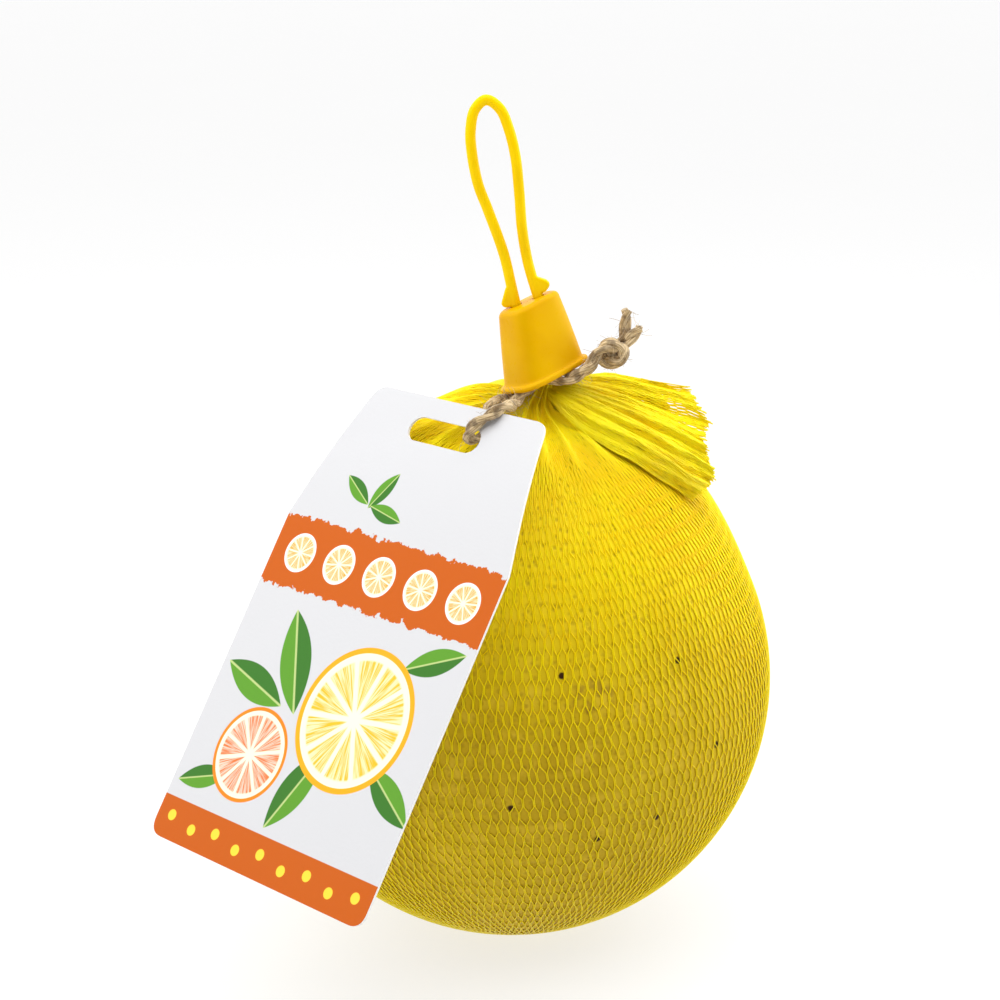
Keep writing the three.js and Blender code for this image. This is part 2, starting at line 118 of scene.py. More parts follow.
def curve_through(places: Sequence[Place], per_span: int) -> Array:
    """Samples a centripetal Catmull-Rom curve.

    Args:
        places: the points that the curve passes through.
        per_span: how many samples lie between two of them.

    Returns:
        The samples, evenly spaced in each span.
    """
    points = np.array(places, dtype=float)
    points = np.vstack([2 * points[0] - points[1], points, 2 * points[-1] - points[-2]])
    samples = []
    for a, b, c, d in zip(points, points[1:], points[2:], points[3:]):
        spans = [math.sqrt(np.linalg.norm(q - p)) for p, q in ((a, b), (b, c), (c, d))]
        knots = np.cumsum([0.0] + spans)
        for t in knots[1] + (knots[2] - knots[1]) * np.arange(per_span) / per_span:
            ab = between(a, b, knots[0], knots[1], t)
            bc = between(b, c, knots[1], knots[2], t)
            cd = between(c, d, knots[2], knots[3], t)
            abc = between(ab, bc, knots[0], knots[2], t)
            bcd = between(bc, cd, knots[1], knots[3], t)
            samples.append(between(abc, bcd, knots[1], knots[2], t))
    samples.append(points[-2])
    return np.array(samples)


def path_frames(points: Array) -> tuple[Array, Array, Array]:
    """Finds a steady cross frame along a path.

    Args:
        points: the path.

    Returns:
        The tangents, and two crosswise directions that don't twist about them.
    """
    tangents = unit(np.gradient(points, axis=0))
    side = unit(np.cross(tangents[0], ASIDE))
    sides = []
    for tangent in tangents:
        side = unit(side - tangent * (side @ tangent))
        sides.append(side)
    sides = np.array(sides)
    return tangents, sides, np.cross(tangents, sides)


# ---- Meshes and objects ----


def mesh_object(name: str, points: Array, faces: Iterable[Sequence[int]] = (),
                edges: Iterable[Sequence[int]] = ()) -> bpy.types.Object:
    """Makes a smooth-shaded object at the origin from millimetre points.

    Args:
        name: the object's name.
        points: its vertices, in millimetres.
        faces: vertex numbers of each face.
        edges: vertex numbers of each loose edge.

    Returns:
        The new object, linked to the scene.
    """
    mesh = bpy.data.meshes.new(name)
    mesh.from_pydata((np.asarray(points) * MM).tolist(), [tuple(e) for e in edges],
                     [tuple(f) for f in faces])
    mesh.shade_smooth()
    piece = bpy.data.objects.new(name, mesh)
    bpy.context.scene.collection.objects.link(piece)
    return piece


def wire_object(name: str, chains: Sequence[Array]) -> bpy.types.Object:
    """Makes an object of edge chains, for a geometry tree to sweep.

    Args:
        name: the object's name.
        chains: the points of each chain, in millimetres.

    Returns:
        The new object.
    """
    edges = []
    start = 0
    for chain in chains:
        edges.extend((k, k + 1) for k in range(start, start + len(chain) - 1))
        start += len(chain)
    return mesh_object(name, np.vstack(chains), edges=edges)


def loft_faces(rings: int, count: int, closed_ends: bool) -> list[tuple[int, ...]]:
    """Lists the faces of a skin over rings.

    Args:
        rings: how many rings there are.
        count: how many points each has.
        closed_ends: whether a face closes each end.

    Returns:
        The vertex numbers of each face.
    """
    faces: list[tuple[int, ...]] = []
    for ring in range(rings - 1):
        low, high = ring * count, (ring + 1) * count
        for k in range(count):
            after = (k + 1) % count
            faces.append((low + k, low + after, high + after, high + k))
    if closed_ends:
        faces.append(tuple(reversed(range(count))))
        faces.append(tuple(range((rings - 1) * count, rings * count)))
    return faces


def rod_object(name: str, path: Array, radius: float, sides: int) -> bpy.types.Object:
    """Makes a closed round rod along a path.

    Args:
        name: the object's name.
        path: the middle line, in millimetres.
        radius: the rod's radius, in millimetres.
        sides: how many sides it has.

    Returns:
        The new object.
    """
    _, across, over = path_frames(path)
    turns = 2 * math.pi * np.arange(sides) / sides
    ring = np.cos(turns)[:, None, None] * across + np.sin(turns)[:, None, None] * over
    points = (path + radius * ring).transpose(1, 0, 2).reshape(-1, 3)
    return mesh_object(name, points, loft_faces(len(path), sides, True))


def finished_mesh(piece: bpy.types.Object) -> bpy.types.Mesh:
    """Returns the piece's mesh with its modifiers applied."""
    graph = bpy.context.evaluated_depsgraph_get()
    return bpy.data.meshes.new_from_object(piece.evaluated_get(graph))


def apply_modifiers(piece: bpy.types.Object) -> None:
    """Puts the piece's modifiers into its mesh.

    Args:
        piece: the piece, which keeps its name and loses its modifiers.
    """
    mesh = finished_mesh(piece)
    piece.modifiers.clear()
    piece.data = mesh


def cut_with(piece: bpy.types.Object, tool: bpy.types.Object, operation: str) -> None:
    """Joins or cuts a piece with a tool, which is used up.

    Args:
        piece: the piece that stays.
        tool: the solid that it is cut with.
        operation: UNION, DIFFERENCE or INTERSECT.
    """
    boolean = piece.modifiers.new("cut", "BOOLEAN")
    boolean.operation = operation
    boolean.solver = "EXACT"
    boolean.object = tool
    apply_modifiers(piece)
    bpy.data.objects.remove(tool)


def dress(piece: bpy.types.Object, material: bpy.types.Material) -> None:
    """Gives the whole piece one material."""
    piece.data.materials.clear()
    piece.data.materials.append(material)


def install(piece: bpy.types.Object, node: str) -> None:
    """Tells the frame what a finished piece rides on and stands for.

    Args:
        piece: the finished piece.
        node: the solid that it replaces.
    """
    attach(piece, ROOT)
    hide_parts(node)
    faces = sum(len(p.vertices) - 2 for p in piece.data.polygons)
    log.info("%s: %d triangles, stands for %s", piece.name, faces, node)


# ---- Node trees ----


class Graph:
    """Adds nodes to one tree and links them."""

    def __init__(self, tree: bpy.types.NodeTree) -> None:
        """Keeps the tree."""
        self.tree = tree

    def add(self, kind: str, settings: dict[str, Any] | None = None,
            inputs: dict[int | str, Any] | None = None) -> bpy.types.Node:
        """Adds one node.

        Args:
            kind: the node's type.
            settings: its own properties.
            inputs: a value or an output socket for each input.

        Returns:
            The node.
        """
        node = self.tree.nodes.new(kind)
        for key, value in (settings or {}).items():
            setattr(node, key, value)
        for key, value in (inputs or {}).items():
            if isinstance(value, bpy.types.NodeSocket):
                self.tree.links.new(value, node.inputs[key])
            else:
                node.inputs[key].default_value = value
        return node

    def math(self, operation: str, *values: Any, clamp: bool = False) -> bpy.types.NodeSocket:
        """Returns the result of a Math node.

        Args:
            operation: the node's operation.
            values: its inputs, in order.
            clamp: whether the result is kept from 0 to 1.

        Returns:
            The output socket.
        """
        settings = {"operation": operation, "use_clamp": clamp}
        return self.add("ShaderNodeMath", settings, dict(enumerate(values))).outputs[0]

    def vector(self, operation: str, *values: Any) -> bpy.types.NodeSocket:
        """Returns the vector result of a Vector Math node."""
        node = self.add("ShaderNodeVectorMath", {"operation": operation}, dict(enumerate(values)))
        return node.outputs[0]

    def scaled(self, vector: Any, scale: Any) -> bpy.types.NodeSocket:
        """Returns a vector times a number."""
        node = self.add("ShaderNodeVectorMath", {"operation": "SCALE"}, {0: vector, "Scale": scale})
        return node.outputs[0]

    def object_place(self) -> bpy.types.NodeSocket:
        """Returns the Object coordinates."""
        return self.add("ShaderNodeTexCoord").outputs["Object"]

    def part_of(self, vector: bpy.types.NodeSocket, axis: int) -> bpy.types.NodeSocket:
        """Returns one part of a vector: 0 for x, 1 for y, 2 for z."""
        return self.add("ShaderNodeSeparateXYZ", None, {0: vector}).outputs[axis]

    def reach(self, x: Any, y: Any) -> bpy.types.NodeSocket:
        """Returns the distance from the point where x and y are 0."""
        return self.math("SQRT", self.math("ADD", self.math("MULTIPLY", x, x), self.math("MULTIPLY", y, y)))

    def rescale(self, value: Any, low: float, high: float, start: float = 0.0,
                stop: float = 1.0) -> bpy.types.NodeSocket:
        """Maps a value smoothly from one range to another.

        Args:
            value: the value or socket.
            low: what becomes start.
            high: what becomes stop.
            start: the first result.
            stop: the last result.

        Returns:
            The output socket.
        """
        node = self.add("ShaderNodeMapRange", {"interpolation_type": "SMOOTHSTEP"},
                        {0: value, 1: low, 2: high, 3: start, 4: stop})
        return node.outputs[0]

    def blend(self, amount: Any, first: Any, second: Any) -> bpy.types.NodeSocket:
        """Mixes two colours.

        Args:
            amount: how much of the second colour shows.
            first: the first colour or socket.
            second: the second colour or socket.

        Returns:
            The output socket.
        """
        node = self.add("ShaderNodeMix", {"data_type": "RGBA"}, {0: amount, 6: first, 7: second})
        return node.outputs[2]

    def noise(self, place: bpy.types.NodeSocket, scale: float, detail: float = 2.0,
              roughness: float = 0.5) -> bpy.types.NodeSocket:
        """Returns the strength of a noise.

        Args:
            place: the coordinates.
            scale: how many features there are to a metre.
            detail: how many finer layers it has.
            roughness: how strong they are.

        Returns:
            The output socket.
        """
        node = self.add("ShaderNodeTexNoise", None, {
            "Vector": place, "Scale": scale, "Detail": detail, "Roughness": roughness})
        return node.outputs["Fac"]


def linear_channel(value: float) -> float:
    """Returns one display channel, 0 to 255, as scene-linear light by the sRGB curve."""
    share = value / 255.0
    return share / 12.92 if share <= 0.04045 else ((share + 0.055) / 1.055) ** 2.4


def linear(shade: Shade) -> tuple[float, float, float, float]:
    """Returns a display colour as scene-linear red, green, blue and alpha."""
    red, green, blue = (linear_channel(value) for value in shade)
    return (red, green, blue, 1.0)


def faded(shade: Shade, share: float, toward: int = 0) -> Shade:
    """Moves a display colour towards a grey.

    Args:
        shade: the colour.
        share: how much of the colour stays.
        toward: the grey that takes the rest, 0 for black and 255 for white.

    Returns:
        The new colour.
    """
    red, green, blue = (int(share * value + (1.0 - share) * toward) for value in shade)
    return (red, green, blue)


def new_tree(name: str, inputs: dict[str, str]) -> tuple[Graph, bpy.types.Node, bpy.types.Node]:
    """Starts a geometry tree that takes and gives geometry.

    Args:
        name: the tree's name.
        inputs: socket type of each other named input.

    Returns:
        The graph, its input node and its output node.
    """
    tree = bpy.data.node_groups.new(name, "GeometryNodeTree")
    tree.interface.new_socket("Geometry", in_out="INPUT", socket_type="NodeSocketGeometry")
    for label, kind in inputs.items():
        tree.interface.new_socket(label, in_out="INPUT", socket_type=kind)
    tree.interface.new_socket("Geometry", in_out="OUTPUT", socket_type="NodeSocketGeometry")
    graph = Graph(tree)
    return graph, graph.add("NodeGroupInput"), graph.add("NodeGroupOutput")


def end_tree(graph: Graph, shape: bpy.types.NodeSocket, material: bpy.types.NodeSocket,
             output: bpy.types.Node) -> None:
    """Ends a tree with smooth shading, real instances and its material.

    Args:
        graph: the tree's graph.
        shape: the finished geometry.
        material: the material input.
        output: the tree's output node.
    """
    smooth = graph.add("GeometryNodeSetShadeSmooth", None, {"Geometry": shape})
    real = graph.add("GeometryNodeRealizeInstances", None, {"Geometry": smooth.outputs[0]})
    painted = graph.add("GeometryNodeSetMaterial", None,
                        {"Geometry": real.outputs[0], "Material": material})
    graph.tree.links.new(painted.outputs[0], output.inputs[0])


def grow(name: str, base: bpy.types.Object, tree: bpy.types.NodeTree,
         values: dict[str, Any]) -> bpy.types.Object:
    """Runs a geometry tree on a base object, which is used up.

    Args:
        name: the name of the result.
        base: the object that the tree starts from.
        tree: the geometry tree.
        values: what each named input is set to.

    Returns:
        A new object with the tree's result as a plain mesh.
    """
    modifier = base.modifiers.new("grow", "NODES")
    modifier.node_group = tree
    for item in tree.interface.items_tree:
        if item.item_type == "SOCKET" and item.in_out == "INPUT" and item.name in values:
            modifier[item.identifier] = values[item.name]
    mesh = finished_mesh(base)
    mesh.name = name
    bpy.data.objects.remove(base)
    piece = bpy.data.objects.new(name, mesh)
    bpy.context.scene.collection.objects.link(piece)
    return piece


def yarn_tree() -> bpy.types.NodeTree:
    """Makes the tree that sweeps every edge chain into a round yarn.

    Returns:
        The geometry tree.
    """
    graph, given, output = new_tree("yarn_sweep", {
        "Yarn Radius": "NodeSocketFloat", "Sides": "NodeSocketInt", "Material": "NodeSocketMaterial"})
    line = graph.add("GeometryNodeMeshToCurve", None, {"Mesh": given.outputs["Geometry"]})
    section = graph.add("GeometryNodeCurvePrimitiveCircle", None, {
        "Resolution": given.outputs["Sides"], "Radius": given.outputs["Yarn Radius"]})
    yarn = graph.add("GeometryNodeCurveToMesh", None, {
        "Curve": line.outputs[0], "Profile Curve": section.outputs[0], "Fill Caps": True})
    end_tree(graph, yarn.outputs[0], given.outputs["Material"], output)
    return graph.tree


# ---- Finishes ----


def blank_material(name: str) -> tuple[bpy.types.Material, Graph, bpy.types.Node]:
    """Starts a material.

    Args:
        name: the material's name.

    Returns:
        The material, its graph and its surface shader.
    """
    material = bpy.data.materials.new(name)
    material.use_nodes = True
    graph = Graph(material.node_tree)
    return material, graph, material.node_tree.nodes["Principled BSDF"]


def set_surface(shader: bpy.types.Node, values: dict[str, Any]) -> None:
    """Sets numbers and colours on the shader's own sockets."""
    for label, value in values.items():
        shader.inputs[label].default_value = value


def add_bump(graph: Graph, shader: bpy.types.Node, height: bpy.types.NodeSocket,
             depth: float) -> None:
    """Gives a shader a bump.

    Args:
        graph: the material's graph.
        shader: the surface shader.
        height: the relief, from 0 to 1.
        depth: the relief's depth, in millimetres.
    """
    bump = graph.add("ShaderNodeBump", None, {
        "Height": height, "Strength": 1.0, "Distance": depth * MM})
    graph.tree.links.new(bump.outputs[0], shader.inputs["Normal"])


@dataclass(frozen=True)
class PeelFinish:
    """Ripe peel: waxy, pitted with oil glands, brown specks, a scuffed patch and painted light at the top.
    """

    name: str = "ripe_peel"
    ground: Shade = (206, 176, 22)
    olive: Shade = (190, 158, 14)
    olive_scale: float = 22.0
    pale: Shade = (218, 186, 50)
    pale_scale: float = 160.0
    # Painted light: the peel's colour turns brighter towards the top of the fruit.
    top_light: Shade = (253, 226, 14)
    top_light_share: float = 0.85
    top_light_foot: float = 78.0
    top_light_full: float = 136.0
    gland: Shade = (156, 122, 10)
    gland_gap: float = 1.9
    gland_share: float = 0.6
    scuff: Shade = (140, 100, 40)
    scuff_place: Place = (0.0, 0.0, 0.0)
    scuff_radius: float = 7.5
    scuff_share: float = 0.55
    speck: Shade = (58, 30, 10)
    speck_radius: float = 1.2
    speck_ruffle: float = 0.6
    specks: tuple[Place, ...] = ()
    specular: float = 0.12
    relief: float = 0.16

    def near(self, graph: Graph, place: bpy.types.NodeSocket, spot: Place,
             radius: float) -> bpy.types.NodeSocket:
        """Masks a spot, with a soft edge.

        Args:
            graph: the material's graph.
            place: the coordinates.
            spot: the middle of the spot, in millimetres.
            radius: its outer radius, in millimetres.

        Returns:
            The mask, 1 in the middle and 0 outside.
        """
        centre = tuple(value * MM for value in spot)
        node = graph.add("ShaderNodeVectorMath", {"operation": "DISTANCE"}, {0: place, 1: centre})
        return graph.rescale(node.outputs["Value"], radius * MM, 0.55 * radius * MM)

    def ground_and_top_light(self, graph: Graph, place: bpy.types.NodeSocket,
                 mottle: bpy.types.NodeSocket) -> bpy.types.NodeSocket:
        """Paints the peel's ground, olive blotches and pale mottles, with painted light brighter at the top.

        Args:
            graph: the material's graph.
            place: the coordinates.
            mottle: the fine noise.

        Returns:
            The colour.
        """
        blotch = graph.noise(place, self.olive_scale, 3.0)
        color = graph.blend(graph.rescale(blotch, 0.38, 0.66), linear(self.ground), linear(self.olive))
        color = graph.blend(graph.rescale(mottle, 0.48, 0.72, 0.0, 0.7), color, linear(self.pale))
        # Painted light: a brighter colour is blended in towards the top of the fruit.
        top_light = graph.rescale(graph.part_of(place, 2), self.top_light_foot * MM, self.top_light_full * MM,
                              0.0, self.top_light_share)
        return graph.blend(top_light, color, linear(self.top_light))

    def marks(self, graph: Graph, place: bpy.types.NodeSocket, color: Any) -> bpy.types.NodeSocket:
        """Paints the scuffed patch and the specks.

        Args:
            graph: the material's graph.
            place: the coordinates.
            color: what lies under them.

        Returns:
            The colour with the marks on it.
        """
        rub = graph.rescale(graph.noise(place, 330.0, 4.0), 0.46, 0.62)
        patch = graph.math("MULTIPLY", self.near(graph, place, self.scuff_place, self.scuff_radius), rub)
        color = graph.blend(graph.math("MULTIPLY", patch, self.scuff_share), color, linear(self.scuff))
        shake = graph.add("ShaderNodeTexNoise", None, {"Vector": place, "Scale": 900.0})
        ruffle = graph.vector("MULTIPLY", shake.outputs["Color"], (self.speck_ruffle * MM,) * 3)
        ragged = graph.vector("ADD", place, ruffle)
        for spot in self.specks:
            mask = self.near(graph, ragged, spot, self.speck_radius)
            color = graph.blend(mask, color, linear(self.speck))
        return color

    def build(self) -> bpy.types.Material:
        """Builds the material.

        Returns:
            The material.
        """
        material, graph, shader = blank_material(self.name)
        place = graph.object_place()
        mottle = graph.noise(place, self.pale_scale, 3.0)
        color = self.ground_and_top_light(graph, place, mottle)
        cells = graph.add("ShaderNodeTexVoronoi", None, {
            "Vector": place, "Scale": 1.0 / (self.gland_gap * MM), "Randomness": 0.9})
        pit = graph.rescale(cells.outputs["Distance"], 0.5, 0.05)
        strength = graph.math("MULTIPLY", graph.noise(place, 420.0), 1.5, clamp=True)
        pitting = graph.math("MULTIPLY", graph.math("MULTIPLY", pit, strength), self.gland_share)
        color = graph.blend(pitting, color, linear(self.gland))
        color = self.marks(graph, place, color)
        graph.tree.links.new(color, shader.inputs["Base Color"])
        gloss = graph.rescale(mottle, 0.3, 0.7, 0.42, 0.6)
        graph.tree.links.new(gloss, shader.inputs["Roughness"])
        set_surface(shader, {"Specular IOR Level": self.specular})
        relief = graph.math("SUBTRACT", graph.math("MULTIPLY", mottle, 0.5), pit)
        add_bump(graph, shader, relief, self.relief)
        return material


@dataclass(frozen=True)
class YarnFinish:
    """Knitted polyethylene yarn: bright, a little translucent, and with painted shade towards the bottom."""

    name: str = "net_yarn"
    color: Shade = (255, 230, 4)
    deep: Shade = (252, 214, 0)
    deep_scale: float = 60.0
    # Painted shade: the yarn's colour turns darker towards the bottom of the fruit.
    low_shade: Shade = (232, 206, 8)
    low_shade_full: float = 58.0
    low_shade_start: float = 132.0
    fibre_scale: float = 2600.0
    fibre_relief: float = 0.03
    roughness: float = 0.42
    specular: float = 0.16
    glow: float = 0.5
    glow_color: tuple[float, float, float] = (1.0, 0.8, 0.1)
    glow_depth: float = 0.4

    def build(self) -> bpy.types.Material:
        """Builds the material.

        Returns:
            The material.
        """
        material, graph, shader = blank_material(self.name)
        place = graph.object_place()
        patch = graph.rescale(graph.noise(place, self.deep_scale), 0.35, 0.7)
        color = graph.blend(patch, linear(self.color), linear(self.deep))
        # Painted shade: a darker colour is blended in towards the bottom of the fruit.
        low_shade_mask = graph.rescale(graph.part_of(place, 2), self.low_shade_start * MM, self.low_shade_full * MM)
        color = graph.blend(low_shade_mask, color, linear(self.low_shade))
        graph.tree.links.new(color, shader.inputs["Base Color"])
        set_surface(shader, {
            "Roughness": self.roughness, "Specular IOR Level": self.specular,
            "Subsurface Weight": self.glow, "Subsurface Radius": self.glow_color,
            "Subsurface Scale": self.glow_depth * MM})
        add_bump(graph, shader, graph.noise(place, self.fibre_scale), self.fibre_relief)
        return material


@dataclass(frozen=True)
class PlasticFinish:
    """Moulded plastic: semi-gloss, with faint flow marks and fine handling scratches."""

    name: str
    color: Shade
    shadow: Shade
    flow_scale: float = 70.0
    grain_scale: float = 900.0
    relief: float = 0.03
    roughness: float = 0.32
    specular: float = 0.07
    glow: float = 0.04
    glow_color: tuple[float, float, float] = (1.0, 0.6, 0.05)
    glow_depth: float = 1.5

    def build(self) -> bpy.types.Material:
        """Builds the material.

        Returns:
            The material.
        """
        material, graph, shader = blank_material(self.name)
        place = graph.object_place()
        flow = graph.noise(place, self.flow_scale)
        grain = graph.noise(place, self.grain_scale, 3.0)
        color = graph.blend(graph.rescale(flow, 0.35, 0.7), linear(self.color), linear(self.shadow))
        graph.tree.links.new(color, shader.inputs["Base Color"])
        gloss = graph.rescale(grain, 0.3, 0.75, self.roughness - 0.06, self.roughness + 0.1)
        graph.tree.links.new(gloss, shader.inputs["Roughness"])
        set_surface(shader, {
            "Specular IOR Level": self.specular, "Subsurface Weight": self.glow,
            "Subsurface Radius": self.glow_color, "Subsurface Scale": self.glow_depth * MM})
        relief = graph.math("ADD", grain, graph.math("MULTIPLY", flow, 3.0))
        add_bump(graph, shader, relief, self.relief)
        return material


@dataclass(frozen=True)
class JuteFinish:
    """Twisted jute: dry, with pale and dark fibres that run along each ply."""

    name: str = "jute"
    pale: Shade = (226, 202, 158)
    brown: Shade = (164, 136, 92)
    dark: Shade = (84, 56, 28)
    dark_scale: float = 320.0
    dark_share: float = 0.65
    fineness: float = 3000.0
    stretch: float = 0.09
    roughness: float = 0.85
    sheen: float = 0.25
    relief: float = 0.35

    def build(self) -> bpy.types.Material:
        """Builds the material, which reads the twine's own attributes.

        Returns:
            The material.
        """
        material, graph, shader = blank_material(self.name)
        around = graph.add("ShaderNodeAttribute", {"attribute_name": SECTION_PLACE}).outputs["Vector"]
        run = graph.add("ShaderNodeAttribute", {"attribute_name": RUN_LENGTH}).outputs["Fac"]
        length = graph.add("ShaderNodeCombineXYZ", None, {2: graph.math("MULTIPLY", run, self.stretch)})
        lay = graph.vector("ADD", around, length.outputs[0])
        fibre = graph.noise(lay, self.fineness, 4.0, 0.6)
        color = graph.blend(graph.rescale(fibre, 0.4, 0.6), linear(self.brown), linear(self.pale))
        clump = graph.noise(graph.object_place(), self.dark_scale, 3.0)
        soil = graph.rescale(clump, 0.54, 0.38, 0.0, self.dark_share)
        color = graph.blend(soil, color, linear(self.dark))
        graph.tree.links.new(color, shader.inputs["Base Color"])
        set_surface(shader, {"Roughness": self.roughness, "Sheen Weight": self.sheen})
        add_bump(graph, shader, fibre, self.relief)
        return material


@dataclass(frozen=True)
class CardFinish:
    """Bare side and edges of the card: smooth and white."""

    name: str = "card_stock"
    color: Shade = (240, 240, 238)
    shaded_share: float = 0.97
    fibre_scale: float = 1500.0
    roughness: float = 0.5
    relief: float = 0.015

    def build(self) -> bpy.types.Material:
        """Builds the material.

        Returns:
            The material.
        """
        material, graph, shader = blank_material(self.name)
        fibre = graph.noise(graph.object_place(), self.fibre_scale, 3.0)
        tone = graph.blend(fibre, linear(self.color), linear(faded(self.color, self.shaded_share)))
        graph.tree.links.new(tone, shader.inputs["Base Color"])
        set_surface(shader, {"Roughness": self.roughness})
        add_bump(graph, shader, fibre, self.relief)
        return material


class Motif(Enum):
    """What a printed shape is."""

    WHEEL = "wheel"
    LEAF = "leaf"
    DISC = "disc"


@dataclass(frozen=True)
class PrintedShape:
    """One printed motif, in the card's own millimetres: x across, y up from the bend.

    A wheel's first colour is its flesh and its second its rind. A leaf has one on each side of its rib.
    """

    motif: Motif
    x: float
    y: float
    size: float
    color: Shade
    second: Shade = (255, 255, 255)
    turn: float = 0.0


@dataclass(frozen=True)
class PrintFinish:
    """Gloss-laminated print: orange bands with rough edges, citrus wheels and leaves on white.

    Its lengths are the card's own millimetres, and x and y are 0 in the middle of the bend.
    """

    name: str = "printed_card"
    white: Shade = (208, 208, 210)
    orange: Shade = (196, 90, 0)
    pith: Shade = (252, 246, 214)
    rib: Shade = (214, 226, 150)
    band_foot: float = -19.9
    hem_top: float = -82.7
    crisp: float = 0.1
    rough_edge: float = 5.4
    segments: int = 10
    rind_share: float = 0.92
    flesh_share: float = 0.84
    streak_share: float = 0.35
    leaf_half: float = 0.36
    roughness: float = 0.45
    specular: float = 0.05
    coat: float = 0.14
    coat_roughness: float = 0.06
    fibre_scale: float = 0.9
    relief: float = 0.04
    shapes: tuple[PrintedShape, ...] = ()

    def disc(self, graph: Graph, x: Any, y: Any, radius: float) -> bpy.types.NodeSocket:
        """Returns a mask of a disc round the point where x and y are 0."""
        return graph.rescale(graph.reach(x, y), radius + self.crisp, radius - self.crisp)

    def wheel(self, graph: Graph, color: Any, x: Any, y: Any, shape: PrintedShape) -> Any:
        """Paints a cut citrus wheel: rind, pith and flesh in segments.

        Args:
            graph: the material's graph.
            color: what lies under it.
            x: its own x coordinate.
            y: its own y coordinate.
            shape: its size and colours.

        Returns:
            The colour with the wheel on it.
        """
        size = shape.size
        reach = graph.reach(x, y)
        turn = graph.math("MULTIPLY", graph.math("ARCTAN2", y, x), self.segments / (2 * math.pi))
        share = graph.math("ABSOLUTE", graph.math("SUBTRACT", graph.math("FRACT", turn), 0.5))
        arc = graph.math("MULTIPLY", reach, 2 * math.pi / self.segments)
        border = graph.math("MULTIPLY", graph.math("SUBTRACT", 0.5, share), arc)
        inside = graph.math("MULTIPLY", graph.rescale(border, 0.025 * size, 0.05 * size),
                            graph.rescale(reach, self.flesh_share * size, 0.8 * size))
        inside = graph.math("MULTIPLY", inside, graph.rescale(reach, 0.08 * size, 0.14 * size))
        rays = graph.add("ShaderNodeCombineXYZ", None, {
            0: graph.math("MULTIPLY", turn, 5.0), 1: graph.math("MULTIPLY", reach, 0.6 / size)})
        streak = graph.add("ShaderNodeTexNoise", {"noise_dimensions": "2D"}, {
            "Vector": rays.outputs[0], "Scale": 3.0, "Detail": 3.0}).outputs["Fac"]
        pale = faded(shape.color, self.streak_share, WHITE_LEVEL)
        flesh = graph.blend(graph.rescale(streak, 0.35, 0.65), linear(shape.color), linear(pale))
        color = graph.blend(self.disc(graph, x, y, size), color, linear(shape.second))
        color = graph.blend(self.disc(graph, x, y, self.rind_share * size), color, linear(self.pith))
        return graph.blend(inside, color, flesh)

    def leaf(self, graph: Graph, color: Any, x: Any, y: Any, shape: PrintedShape) -> Any:
        """Paints a pointed leaf with a pale midrib.

        Args:
            graph: the material's graph.
            color: what lies under it.
            x: its own x coordinate.
            y: its own y coordinate.
            shape: its size and colours.

        Returns:
            The colour with the leaf on it.
        """
        along = graph.math("DIVIDE", x, shape.size)
        bow = graph.math("SUBTRACT", 1.0, graph.math("MULTIPLY", along, along))
        half = graph.math("MULTIPLY", bow, self.leaf_half * shape.size)
        off = graph.math("ABSOLUTE", y)
        inside = graph.rescale(graph.math("SUBTRACT", half, off), -self.crisp, self.crisp)
        light = graph.rescale(y, -self.crisp, self.crisp)
        face = graph.blend(light, linear(shape.color), linear(shape.second))
        rib = graph.rescale(off, 0.035 * shape.size, 0.01 * shape.size)
        face = graph.blend(graph.math("MULTIPLY", rib, 0.7), face, linear(self.rib))
        return graph.blend(inside, color, face)

    def paint(self, graph: Graph, color: Any, x: Any, y: Any, shape: PrintedShape) -> Any:
        """Paints one motif.

        Args:
            graph: the material's graph.
            color: what lies under it.
            x: the card's x coordinate.
            y: the card's y coordinate.
            shape: the motif.

        Returns:
            The colour with the motif on it.
        """
        dx = graph.math("SUBTRACT", x, shape.x)
        dy = graph.math("SUBTRACT", y, shape.y)
        cosine, sine = math.cos(shape.turn * DEGREE), math.sin(shape.turn * DEGREE)
        own_x = graph.math("ADD", graph.math("MULTIPLY", dx, cosine), graph.math("MULTIPLY", dy, sine))
        own_y = graph.math("SUBTRACT", graph.math("MULTIPLY", dy, cosine),
                           graph.math("MULTIPLY", dx, sine))
        if shape.motif is Motif.WHEEL:
            return self.wheel(graph, color, own_x, own_y, shape)
        if shape.motif is Motif.LEAF:
            return self.leaf(graph, color, own_x, own_y, shape)
        return graph.blend(self.disc(graph, own_x, own_y, shape.size), color, linear(shape.color))

    def bands(self, graph: Graph, card: bpy.types.NodeSocket,
              y: bpy.types.NodeSocket) -> bpy.types.NodeSocket:
        """Masks the two orange bands: one under the bend with rough edges, one at the card's foot.

        Args:
            graph: the material's graph.
            card: the card's coordinates.
            y: the card's y coordinate.

        Returns:
            The mask.
        """
        blots = graph.add("ShaderNodeTexNoise", {"noise_dimensions": "2D"}, {
            "Vector": card, "Scale": 0.26, "Detail": 4.0, "Roughness": 0.6}).outputs["Fac"]
        shift = graph.math("MULTIPLY", graph.math("SUBTRACT", blots, 0.5), self.rough_edge)
        rough_y = graph.math("ADD", y, shift)
        below_bend = graph.rescale(rough_y, self.crisp, -self.crisp)
        above_foot = graph.rescale(rough_y, self.band_foot - self.crisp, self.band_foot + self.crisp)
        band = graph.math("MULTIPLY", below_bend, above_foot)
        hem = graph.rescale(y, self.hem_top + self.crisp, self.hem_top - self.crisp)
        return graph.math("MAXIMUM", band, hem)

